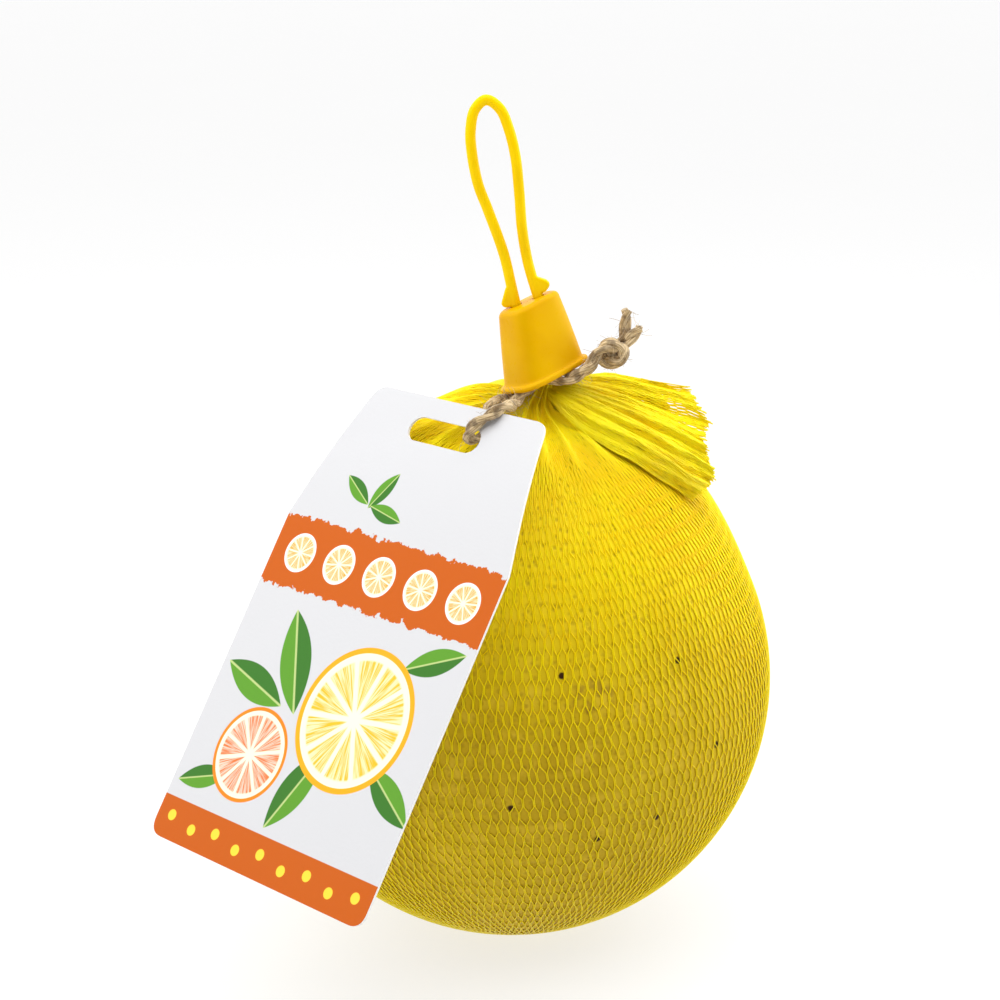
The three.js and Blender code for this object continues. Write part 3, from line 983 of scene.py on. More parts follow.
    def build(self) -> bpy.types.Material:
        """Builds the material, which turns the card's own UV map back into millimetres.

        Returns:
            The material.
        """
        material, graph, shader = blank_material(self.name)
        flat = graph.add("ShaderNodeUVMap", {"uv_map": CARD_UV}).outputs[0]
        card = graph.add("ShaderNodeMapping", None, {
            "Vector": flat, "Location": (-CARD_UV_SPAN / 2, CARD_UV_LOW, 0.0),
            "Scale": (CARD_UV_SPAN, CARD_UV_SPAN, 1.0)}).outputs[0]
        x, y = graph.part_of(card, 0), graph.part_of(card, 1)
        color = graph.blend(self.bands(graph, card, y), linear(self.white), linear(self.orange))
        for shape in self.shapes:
            color = self.paint(graph, color, x, y, shape)
        graph.tree.links.new(color, shader.inputs["Base Color"])
        set_surface(shader, {
            "Roughness": self.roughness, "Specular IOR Level": self.specular,
            "Coat Weight": self.coat, "Coat Roughness": self.coat_roughness})
        add_bump(graph, shader, graph.noise(card, self.fibre_scale, 3.0), self.relief)
        return material


# ---- The fruit and the net round it ----


@dataclass(frozen=True)
class FruitForm:
    """The outer form that the fruit and its net share."""

    centre: Place = (0.0, 0.0, 75.0)
    stem: Place = (5.3, -20.0, 87.0)
    dome_height: float = 12.0
    dome_spread: float = 65 * DEGREE
    foot_radius: float = 9.0
    foot_blend: float = 17 * DEGREE
    level_fall: float = 140 * DEGREE

    @property
    def stem_axis(self) -> Array:
        """Returns the direction from the centre to the stem end."""
        return unit(np.array(self.stem))

    def place(self, directions: Array, radius: float) -> Array:
        """Puts directions on the form.

        Args:
            directions: directions from the centre, of length 1.
            radius: the form's radius where it is a plain ball.

        Returns:
            The points, in millimetres. None is lower than the ball's lowest point.
        """
        angle = np.arccos(np.clip(directions @ self.stem_axis, -1.0, 1.0))
        dome = self.dome_height * np.clip(1.0 - (angle / self.dome_spread) ** 2, 0.0, None) ** 2
        rise = np.arccos(np.clip(-directions[..., 2], -1.0, 1.0))
        foot_angle = math.atan2(self.foot_radius, self.centre[2])
        reach = radius / math.cos(foot_angle) - radius
        foot = reach * smoothstep((self.foot_blend - rise) / (self.foot_blend - foot_angle))
        points = directions * (radius + dome + foot)[..., None] + np.array(self.centre)
        points[..., 2] = np.maximum(points[..., 2], self.centre[2] - radius)
        return points

    def net_directions(self, fall: Array, turn: Array) -> Array:
        """Finds directions by the net's own rows and wales.

        Args:
            fall: the angle down from the net's top.
            turn: the angle round the net.

        Returns:
            The directions. Rows lean with the stem end at the top and are level at the bottom.
        """
        flat = np.stack([np.sin(fall) * np.cos(turn), np.sin(fall) * np.sin(turn), np.cos(fall)], -1)
        lean = math.acos(self.stem_axis[2])
        axis = unit(np.cross([0.0, 0.0, 1.0], self.stem_axis))
        return turned(flat, axis, lean * (1.0 - smoothstep(fall / self.level_fall)))


@dataclass
class Fruit:
    """The fruit: one ball of peel and flesh with a low dome at the stem end."""

    form: FruitForm
    radius: float = 74.35
    rows: int = 150
    columns: int = 300
    dimple_depth: float = 0.0484
    dimple_waves: int = 40
    dimple_pace: tuple[float, float] = (6.0, 40.0)
    seed: int = 11
    specks: tuple[tuple[float, float], ...] = (
        (13.0, 24.1), (-0.1, -10.9), (23.0, -22.4), (43.8, 23.5), (55.3, -2.4), (38.9, -19.0), (39.5, 54.0),
    )
    scuff: tuple[float, float] = (21.1, 17.1)

    def spot(self, side: float, height: float) -> Place:
        """Finds a place on the front of the peel.

        Args:
            side: its distance to the right of the middle, in millimetres.
            height: its distance above the middle, in millimetres.

        Returns:
            The place, in millimetres.
        """
        depth = math.sqrt(max(self.radius ** 2 - side ** 2 - height ** 2, 0.0))
        toward = unit(np.array([side, -depth, height]))
        return tuple(self.form.place(toward, self.radius).tolist())

    def dimples(self, directions: Array) -> Array:
        """Works out how far the skin sinks in, as many small waves that cross.

        Args:
            directions: the direction of each point, of length 1.

        Returns:
            The depth of each point, in millimetres.
        """
        draw = np.random.default_rng(self.seed)
        sink = np.zeros(len(directions))
        for _ in range(self.dimple_waves):
            wave = draw.normal(size=3) * draw.uniform(*self.dimple_pace)
            sink += np.sin(directions @ wave + draw.uniform(0, 2 * math.pi)) / self.dimple_waves
        return self.dimple_depth * np.clip(sink * 3.0, -1.0, 1.0) ** 2

    def mesh(self) -> bpy.types.Object:
        """Makes the fruit's object, with a gently uneven skin.

        Returns:
            The new object.
        """
        falls = math.pi * (np.arange(1, self.rows) / self.rows)
        turns = 2 * math.pi * np.arange(self.columns) / self.columns
        fall, turn = np.meshgrid(falls, turns, indexing="ij")
        directions = self.form.net_directions(fall, turn).reshape(-1, 3)
        poles = self.form.net_directions(np.array([0.0, math.pi]), np.array([0.0, 0.0]))
        directions = np.vstack([directions, poles])
        points = self.form.place(directions, self.radius)
        points -= directions * self.dimples(directions)[:, None]
        points[:, 2] = np.maximum(points[:, 2], self.form.centre[2] - self.radius)
        count = self.columns
        top, bottom = len(points) - 2, len(points) - 1
        low = (self.rows - 2) * count
        faces = [tuple(reversed(face)) for face in loft_faces(self.rows - 1, count, False)]
        faces += [(top, k, (k + 1) % count) for k in range(count)]
        faces += [(bottom, low + (k + 1) % count, low + k) for k in range(count)]
        return mesh_object("pomelo_fruit", points, faces)

    def build(self) -> None:
        """Builds the fruit and tells the frame."""
        piece = self.mesh()
        specks = tuple(self.spot(*speck) for speck in self.specks)
        dress(piece, PeelFinish(specks=specks, scuff_place=self.spot(*self.scuff)).build())
        install(piece, "fruit")


@dataclass(frozen=True)
class Knit:
    """How the net is knitted."""

    wales: int = 192
    cell_side: float = 2.55
    cell_slant: float = 2.2
    yarn_radius: float = 0.18
    yarn_sides: int = 4

    def pitch(self, width: float) -> float:
        """Returns the distance between rows where a cell is that wide."""
        return self.cell_side + math.sqrt(max(self.cell_slant ** 2 - (width / 2) ** 2, 0.04))


@dataclass
class NetBag:
    """The knitted bag: yarns that meet in pairs along each cell's side, round the whole fruit.

    Its own coordinates are the fall, which is the angle down from the net's top, and the turn round it.
    """

    form: FruitForm
    knit: Knit
    radius: float = 74.6
    floor_gap: float = 0.05
    top_fall: float = 6.8 * DEGREE
    first_row: float = 8.0 * DEGREE
    slack_end: float = 32 * DEGREE
    slack: float = 0.36
    bottom_fall: float = 173 * DEGREE
    pleats: int = 17
    pleat_height: float = 2.1
    pleat_end: float = 27 * DEGREE
    bunching: float = 0.6
    twist: float = 0.14
    twist_start: float = 36 * DEGREE
    sway: float = 0.010
    ripple: float = 0.005
    row_sway: float = 0.010
    unevenness: float = 0.05
    row_slip: float = 0.16
    side_lean: float = 0.12
    seed: int = 5

    def row_falls(self) -> list[float]:
        """Works out where the rows lie.

        Returns:
            The fall of each row's middle, from the top down.
        """
        falls = [self.first_row]
        while falls[-1] < self.bottom_fall:
            toward = self.form.net_directions(np.array(falls[-1:]), np.zeros(1))
            spoke = self.form.place(toward, self.radius)[0] - np.array(self.form.centre)
            reach = float(np.linalg.norm(spoke))
            width = 2 * math.pi * reach * math.sin(falls[-1]) / self.knit.wales
            falls.append(falls[-1] + self.row_size(falls[-1]) * self.knit.pitch(width) / reach)
        return falls

    def row_size(self, fall: float) -> float:
        """Returns how tall a row is against a stretched one: the mouth hangs slack."""
        share = smoothstep((fall - self.top_fall) / (self.slack_end - self.top_fall))
        return 1.0 - self.slack * (1.0 - float(share))

    def ridge(self, turn: Array) -> Array:
        """Returns the pleats' phase round the neck."""
        return self.pleats * turn + 0.9 * np.sin(2 * turn + 1.0) + 0.7 * np.sin(5 * turn)

    def pleat_share(self, fall: Array) -> Array:
        """Returns how strong the pleats are, from 1 at the neck to 0 on the fruit."""
        return 1.0 - smoothstep((fall - self.top_fall) / (self.pleat_end - self.top_fall))

    def surface(self, fall: Array, turn: Array, lift: Array | float = 0.0) -> Array:
        """Puts net coordinates on the fruit, with the pleats near the neck.

        Args:
            fall: the angle down from the net's top.
            turn: the angle round the net.
            lift: how far each point stands off, in millimetres.

        Returns:
            The points, in millimetres.
        """
        share = self.pleat_share(fall)
        phase = self.ridge(turn)
        turn = turn - self.bunching * share * np.sin(phase) / self.pleats
        turn = turn + self.twist * np.maximum(fall - self.twist_start, 0.0)
        sway = self.sway * np.sin(2 * turn + 5 * fall) + self.ripple * np.sin(7 * turn - 9 * fall + 1)
        fall = fall + self.row_sway * np.sin(3 * turn + 1.3) * np.sin(fall)
        directions = self.form.net_directions(fall, turn + sway * np.sin(fall))
        height = self.pleat_height * share * (0.5 + 0.5 * np.cos(phase)) ** 1.5
        points = self.form.place(directions, self.radius)
        return points + directions * (height + lift)[..., None]

    def yarns(self) -> tuple[Array, Array, Array]:
        """Works out every yarn in the net's own coordinates.

        Returns:
            The fall, turn and lift of each point, one row for each yarn.
        """
        draw = np.random.default_rng(self.seed)
        knit = self.knit
        half_step = math.pi / knit.wales
        halves = np.arange(2 * knit.wales)
        falls, turns = [], []
        for row, fall in enumerate(self.row_falls()):
            parity = row % 2
            on_side = np.where(halves % 2 == parity, halves, halves + 1)
            wale = ((on_side - parity) // 2) % knit.wales
            flat = max(math.sin(fall), 0.06) * self.radius
            width = 2 * half_step * flat
            swing = self.unevenness * width * draw.normal(size=knit.wales)[wale]
            slide = self.row_slip * draw.normal(size=knit.wales)[wale]
            lean = self.side_lean * draw.normal(size=knit.wales)[wale]
            apart = np.where(on_side == halves, 1.0, -1.0) * min(0.9 * knit.yarn_radius, 0.25 * width)
            side = self.row_size(fall) * knit.cell_side
            for end in (-1.0, 1.0):
                turns.append(on_side * half_step + (swing + apart + end * lean * min(width, 1.0)) / flat)
                falls.append(np.full(len(halves), fall) + (slide + end * side / 2) / self.radius)
        return np.array(falls).T, np.array(turns).T, np.zeros((len(halves), len(falls)))

    def build(self, tree: bpy.types.NodeTree, material: bpy.types.Material) -> None:
        """Builds the two halves of the bag and tells the frame.

        Args:
            tree: the yarn tree.
            material: the yarn's finish.
        """
        points = self.surface(*self.yarns())
        points[..., 2] = np.maximum(points[..., 2], self.knit.yarn_radius + self.floor_gap)
        half = len(points) // 2
        for name, chains in (("net_bag_back", points[:half]), ("net_bag_front", points[half:])):
            piece = sweep(name, chains, tree, self.knit, material)
            install(piece, "net_bag")


def sweep(name: str, chains: Sequence[Array], tree: bpy.types.NodeTree, knit: Knit,
          material: bpy.types.Material) -> bpy.types.Object:
    """Makes a piece of net from the lines of its yarns.

    Args:
        name: the piece's name.
        chains: the points of each yarn, in millimetres.
        tree: the yarn tree.
        knit: the yarn's sizes.
        material: its finish.

    Returns:
        The new piece.
    """
    return grow(name, wire_object(name + "_lines", chains), tree, {
        "Yarn Radius": knit.yarn_radius * MM, "Sides": knit.yarn_sides, "Material": material})


@dataclass
class NetNeck:
    """The bag's mouth, drawn together over the stem end and up into the closure."""

    bag: NetBag
    stations: tuple[tuple[Place, float], ...] = (
        ((8.0, -20.0, 172.0), 2.7),
        ((8.4, -20.0, 169.2), 2.7),
        ((8.2, -20.1, 166.6), 2.9),
        ((7.0, -20.0, 164.0), 3.7),
        ((5.7, -19.8, 161.9), 5.5),
    )
    fold_depth: float = 0.2
    raggedness: float = 0.4
    mouth_fall: float = 5.2 * DEGREE
    mouth_steps: tuple[float, ...] = (0.4, 0.8)
    samples: int = 4
    seed: int = 8

    def lines(self) -> Array:
        """Works out the yarns, from the closure down onto the fruit.

        Returns:
            The points of each yarn, in millimetres.
        """
        bag = self.bag
        draw = np.random.default_rng(self.seed)
        count = 2 * bag.knit.wales
        turn = math.pi / bag.knit.wales * np.arange(count)
        phase = bag.ridge(turn)
        bunched = turn - bag.bunching * np.sin(phase) / bag.pleats
        lean = math.acos(bag.form.stem_axis[2])
        axis = unit(np.cross([0.0, 0.0, 1.0], bag.form.stem_axis))
        outward = np.stack([np.cos(bunched), np.sin(bunched), np.zeros(count)], -1)
        outward = turned(outward, axis, np.full(count, lean))
        rings = []
        for centre, radius in self.stations:
            reach = radius * (1.0 + self.fold_depth * np.cos(phase))
            reach = reach + self.raggedness * draw.uniform(-1.0, 1.0, count)
            rings.append(np.array(centre) + outward * reach[:, None])
        falls, turns, _ = bag.yarns()
        for step in self.mouth_steps:
            fall = self.mouth_fall + step * (falls[:, 0] - self.mouth_fall)
            rings.append(bag.surface(fall, turn + step * (turns[:, 0] - turn)))
        rings.append(bag.surface(falls[:, 0], turns[:, 0]))
        rings.append(bag.surface(falls[:, 1], turns[:, 1]))
        return np.array(rings).transpose(1, 0, 2)

    def build(self, tree: bpy.types.NodeTree, material: bpy.types.Material) -> None:
        """Builds the neck and tells the frame.

        Args:
            tree: the yarn tree.
            material: the yarn's finish.
        """
        chains = [curve_through(line, self.samples) for line in self.lines()]
        piece = sweep("net_neck", chains, tree, self.bag.knit, material)
        install(piece, "net_gather")


@dataclass
class TailSheet:
    """The surface that the bag's free end follows, over three rails."""

    front: tuple[Place, ...] = ((8.0, -21.5, 163.5), (16.3, -29.4, 156.3), (32.6, -33.2, 147.4),
                                (49.8, -28.0, 135.6))
    middle: tuple[Place, ...] = ((8.0, -20.0, 164.3), (17.5, -20.5, 163.0), (35.2, -17.5, 155.6),
                                 (52.5, -16.0, 147.0))
    back: tuple[Place, ...] = ((8.0, -18.5, 165.0), (17.0, -13.0, 165.6), (27.0, -8.0, 165.8),
                               (39.0, -5.0, 162.6), (50.8, -5.0, 161.2))
    samples: int = 24
    overrun: float = 1.5

    def rail(self, places: Sequence[Place], along: Array) -> Array:
        """Finds points along one rail.

        Args:
            places: the rail's points.
            along: how far along each point is, 0 to 1 and a little over.

        Returns:
            The points, in millimetres.
        """
        line = curve_through(places, self.samples)
        onward = line[-1] - line[-2 - self.samples // 4]
        line = np.vstack([line, line[-1] + self.overrun * onward])
        last = len(line) - 2
        lengths = np.concatenate([[0.0], np.cumsum(np.linalg.norm(np.diff(line, axis=0), axis=1))])
        want = along * lengths[last]
        return np.stack([np.interp(want, lengths, line[:, k]) for k in range(3)], -1)

    def point(self, across: Array, along: Array) -> Array:
        """Finds points of the sheet.

        Args:
            across: 0 at the front rail, 0.5 at the middle one and 1 at the back one.
            along: 0 at the neck and 1 at the free end.

        Returns:
            The points, in millimetres.
        """
        front = (2 * (across - 0.5) * (across - 1.0))[..., None] * self.rail(self.front, along)
        middle = (4 * across * (1.0 - across))[..., None] * self.rail(self.middle, along)
        back = (2 * across * (across - 0.5))[..., None] * self.rail(self.back, along)
        return front + middle + back

    def normal(self, across: Array, along: Array) -> Array:
        """Finds the sheet's outward direction at each place.

        Args:
            across: 0 at the front rail and 1 at the back one.
            along: 0 at the neck and 1 at the free end.

        Returns:
            The directions, of length 1.
        """
        step = 0.02
        lengthways = self.point(across, along + step) - self.point(across, along - step)
        sideways = self.point(across + step, along) - self.point(across - step, along)
        return unit(np.cross(lengthways, sideways))


@dataclass
class NetFold:
    """One flattened fold of the bag's free end, of two plies joined at the sides."""

    name: str
    sheet: TailSheet
    knit: Knit
    wales: int
    start: float
    stop: float
    rows: int = 16
    lift: float = 0.0
    thickness: float = 1.0
    curl: float = 0.0
    under_reach: float = 1.0
    pleats: float = 3.0
    pleat_depth: float = 0.7
    wander: float = 0.012
    roughness: float = 0.07
    fray: float = 0.022
    fray_start: float = 0.93
    row_slip: float = 0.004
    side_swing: float = 0.12
    side_lean: float = 0.09
    pair_gap: float = 0.6
    side_share: float = 0.58
    seed: int = 1
    end_places: tuple[float, ...] = (0.0, 0.2, 0.35, 0.48, 0.6, 0.72, 0.85, 1.0)
    end_reach: tuple[float, ...] = (1.0, 1.07, 1.03, 0.99, 1.02, 1.06, 0.99, 0.98)

    def lines(self) -> list[Array]:
        """Works out the yarns, from the neck to their ragged ends.

        Returns:
            The points of each yarn, in millimetres.
        """
        draw = np.random.default_rng(self.seed)
        count = 2 * self.wales
        halves = np.arange(count)
        places = []
        for row in range(self.rows):
            parity = row % 2
            on_side = np.where(halves % 2 == parity, halves, halves + 1)
            wale = ((on_side - parity) // 2) % self.wales
            middle = (row + 0.5) / self.rows + self.row_slip * draw.normal(size=self.wales)[wale]
            lean = self.side_lean * draw.normal(size=self.wales)[wale]
            swing = self.side_swing * draw.normal(size=self.wales)[wale]
            apart = np.where(on_side == halves, 0.5, -0.5) * self.pair_gap
            for end in (-1.0, 1.0):
                side = (on_side + swing + apart + end * lean) / count
                places.append((side, middle + end * 0.5 * self.side_share / self.rows))
        around = np.array([p[0] for p in places]).T
        along = np.array([p[1] for p in places]).T
        return self.place(around, along, draw)

    def reach_length(self) -> float:
        """Measures the fold along its middle.

        Returns:
            Its length, in millimetres.
        """
        along = np.linspace(0.0, 1.0, 30)
        line = self.sheet.point(np.full(30, (self.start + self.stop) / 2), along)
        return float(np.linalg.norm(np.diff(line, axis=0), axis=1).sum())

    def place(self, around: Array, along: Array, draw: np.random.Generator) -> list[Array]:
        """Puts the yarns on the fold.

        Args:
            around: each point's place round the flattened tube, 0 to 1.
            along: its place along it, 0 to 1.
            draw: the source of the fold's unevenness.

        Returns:
            The points of each yarn, in millimetres.
        """
        turn = np.mod(around, 1.0)
        upper = turn < 0.5
        share = np.where(upper, 2 * turn, 2 - 2 * turn)
        across = self.start + (self.stop - self.start) * share
        reach = np.interp(across, self.end_places, self.end_reach)
        reach = reach * np.where(upper, 1.0, self.under_reach)
        fray = self.fray * draw.uniform(0.0, 1.0, len(around)) ** 2
        along = along * reach + (along > self.fray_start) * fray[:, None]
        sway = np.sin(9 * along + 5 * share + self.seed) + 0.6 * np.sin(23 * along + 11 * share)
        across = across + self.wander * along * sway
        edge = 1.0 - np.abs(2 * share - 1.0) ** 5
        side = np.where(upper, 1.0, -1.0) * edge * self.thickness * smoothstep(4 * along + 0.25)
        wave = np.sin(2 * math.pi * self.pleats * share + 1.3 * self.seed + 2.0 * along)
        wave = wave + 0.5 * np.sin(2 * math.pi * 2.3 * self.pleats * share - 3.0 * along)
        height = self.lift + side + self.pleat_depth * smoothstep(1.6 * along) * wave
        height = height + self.curl * smoothstep(1 - share / 0.3) * smoothstep(2 * along)
        rough = self.roughness * draw.normal(size=height.shape)
        points = self.sheet.point(across, along)
        points = points + self.sheet.normal(across, along) * (height + rough)[..., None]
        return list(points)

    def build(self, tree: bpy.types.NodeTree, material: bpy.types.Material) -> None:
        """Builds the fold and tells the frame.

        Args:
            tree: the yarn tree.
            material: the yarn's finish.
        """
        piece = sweep(self.name, self.lines(), tree, self.knit, material)
        install(piece, "net_gather")
        self.reach_length()


# ---- The closure: cap, loop handle and twine ----


@dataclass(frozen=True)
class Seat:
    """Where the closure sits, and how it leans and turns."""

    place: Place = (9.6, -20.0, 167.5)
    lean: float = -17 * DEGREE
    yaw: float = 0.0
    slide: float = 0.0

    def world(self, points: Array) -> Array:
        """Moves points from the piece's own frame: it turns, slides sideways with height and leans.

        Args:
            points: the points, in millimetres.

        Returns:
            The points in the object's frame.
        """
        points = turned(points, np.array([0.0, 0.0, 1.0]), np.full(len(points), self.yaw))
        points = points + self.slide * points[:, 2:] * np.array([1.0, 0.0, 0.0])
        lean = np.full(len(points), self.lean)
        return turned(points, np.array([0.0, 1.0, 0.0]), lean) + np.array(self.place)


@dataclass
class ClosureCap:
    """The moulded cap over the net's neck: a hollow, tapered shell with a rim."""

    seat: Seat
    legs_seat: Seat
    height: float = 21.2
    top_half: float = 7.85
    base_half: float = 10.55
    rim_half: float = 11.85
    rim_height: float = 1.7
    oval: float = 0.77
    squareness: float = 3.9
    bulge: float = 0.12
    wall: float = 1.0
    bevel: float = 1.8
    hole_radius: float = 1.75
    hole_sides: int = 32
    hole_reach: float = 3.0
    legs: tuple[float, ...] = (-2.5, 3.8)
    sides: int = 96

    def ring(self, half: float, level: float) -> Array:
        """Draws one level of the cap as a rounded, slightly square oval.

        Args:
            half: the oval's half-width.
            level: its height over the rim's foot.

        Returns:
            The points, evenly spaced round it.
        """
        turns = np.linspace(0.0, 2 * math.pi, 40 * self.sides + 1)
        power = 2 / self.squareness
        x = half * np.sign(np.cos(turns)) * np.abs(np.cos(turns)) ** power
        y = half * self.oval * np.sign(np.sin(turns)) * np.abs(np.sin(turns)) ** power
        lengths = np.concatenate([[0.0], np.cumsum(np.hypot(np.diff(x), np.diff(y)))])
        even = lengths[-1] * np.arange(self.sides) / self.sides
        return np.stack([np.interp(even, lengths, x), np.interp(even, lengths, y),
                         np.full(self.sides, level)], -1)

    def outer_half(self, level: float) -> float:
        """Finds how wide the tapered wall is outside.

        Args:
            level: the height over the rim's foot.

        Returns:
            The outer half-width.
        """
        share = (level - self.rim_height) / (self.height - self.rim_height)
        bulge = self.bulge * math.sin(math.pi * min(max(share, 0.0), 1.0))
        return self.base_half + (self.top_half - self.base_half) * share + bulge

    def profile(self) -> list[tuple[float, float]]:
        """Draws the wall's section: from the ceiling inside, round the rim, to the top outside.

        Returns:
            The half-width and level of each ring.
        """
        ceiling = self.height - self.wall
        inner = [(self.outer_half(z) - self.wall, z) for z in np.linspace(ceiling - 0.8, 2.0, 8)]
        rows = [(inner[0][0] - 1.0, ceiling), (inner[0][0] - 0.3, ceiling - 0.2)] + inner
        lip = self.rim_height / 2
        rows.append((self.base_half - self.wall + 0.1, 0.25))
        rows.append((self.base_half - self.wall + 0.4, 0.0))
        for angle in np.linspace(-80, 80, 7) * DEGREE:
            rows.append((self.rim_half - lip + lip * math.cos(angle), lip + lip * math.sin(angle)))
        rows.append((self.base_half + 0.3, self.rim_height))
        rows.append((self.base_half + 0.05, self.rim_height + 0.25))
        shoulder = self.height - self.bevel
        rows += [(self.outer_half(z), z) for z in np.linspace(self.rim_height + 0.8, shoulder, 9)]
        edge = self.outer_half(shoulder)
        for angle in np.linspace(15, 90, 6) * DEGREE:
            rows.append((edge - self.bevel * (1 - math.cos(angle)),
                         shoulder + self.bevel * math.sin(angle)))
        return rows

    def build(self) -> None:
        """Builds the cap and tells the frame."""
        rings = [self.ring(half, level) for half, level in self.profile()]
        piece = mesh_object("closure_cap_shell", self.seat.world(np.vstack(rings)),
                            loft_faces(len(rings), self.sides, True))
        for leg in self.legs:
            ends = np.array([(leg, 0.0, self.height - self.hole_reach),
                             (leg, 0.0, self.height + self.hole_reach)])
            drill = rod_object("drill", self.legs_seat.world(ends), self.hole_radius, self.hole_sides)
            cut_with(piece, drill, "DIFFERENCE")
        piece.data.set_sharp_from_angle(angle=SHARP_ANGLE)
        dress(piece, PlasticFinish("amber_cap", (228, 176, 0), (220, 163, 0)).build())
        install(piece, "closure_cap")


@dataclass
class LoopHandle:
    """The moulded loop: one round rod, with a barb on each leg just over the cap."""

    seat: Seat
    rod_radius: float = 1.45
    rod_sides: int = 24
    grain: float = 0.28
    route: tuple[Place, ...] = (
        (-2.5, 0.0, 16.5), (-2.5, 0.0, 21.0), (-2.2, 0.0, 26.0), (-1.6, 0.0, 35.0), (-2.2, 0.0, 47.5),
        (-2.7, 0.0, 55.0), (-1.7, 0.0, 64.0), (-0.4, 0.3, 69.0), (2.2, 0.6, 73.7), (5.8, 0.8, 75.3),
        (8.6, 0.7, 72.0), (9.3, 0.5, 66.0), (8.9, 0.0, 59.0), (7.2, 0.0, 50.0), (5.0, 0.0, 40.0),
        (3.9, 0.0, 31.0), (3.8, 0.0, 21.0), (3.8, 0.0, 16.5),
    )
    left_barb: tuple[tuple[float, float], ...] = (
        (-2.6, 27.4), (-4.1, 25.8), (-5.6, 23.4), (-6.2, 22.4), (-6.0, 21.6), (-5.1, 21.0), (-2.4, 20.8),
    )
    right_barb: tuple[tuple[float, float], ...] = (
        (3.9, 27.4), (5.3, 26.5), (7.3, 25.1), (7.9, 24.1), (7.6, 23.2), (6.3, 22.2), (3.8, 22.0),
    )
    barb_half: float = 1.25
    samples: int = 12

    def barb(self, outline: Sequence[tuple[float, float]]) -> bpy.types.Object:
        """Makes a barb as a flat prism.

        Args:
            outline: the points of its edge, across and up.

        Returns:
            The new object.
        """
        places = [(x, side * self.barb_half, z) for side in (1.0, -1.0) for x, z in outline]
        points = self.seat.world(np.array(places))
        return mesh_object("barb", points, loft_faces(2, len(outline), True))

    def build(self) -> None:
        """Builds the loop and tells the frame."""
        path = self.seat.world(curve_through(self.route, self.samples))
        piece = rod_object("loop_handle_rod", path, self.rod_radius, self.rod_sides)
        for outline in (self.left_barb, self.right_barb):
            cut_with(piece, self.barb(outline), "UNION")
        remesh = piece.modifiers.new("even", "REMESH")
        remesh.mode = "VOXEL"
        remesh.voxel_size = self.grain * MM
        soften = piece.modifiers.new("soften", "SMOOTH")
        soften.factor = 0.5
        soften.iterations = 6
        apply_modifiers(piece)
        piece.data.shade_smooth()
        dress(piece, PlasticFinish("yellow_loop", (248, 208, 0), (240, 196, 0)).build())
        install(piece, "loop_handle")


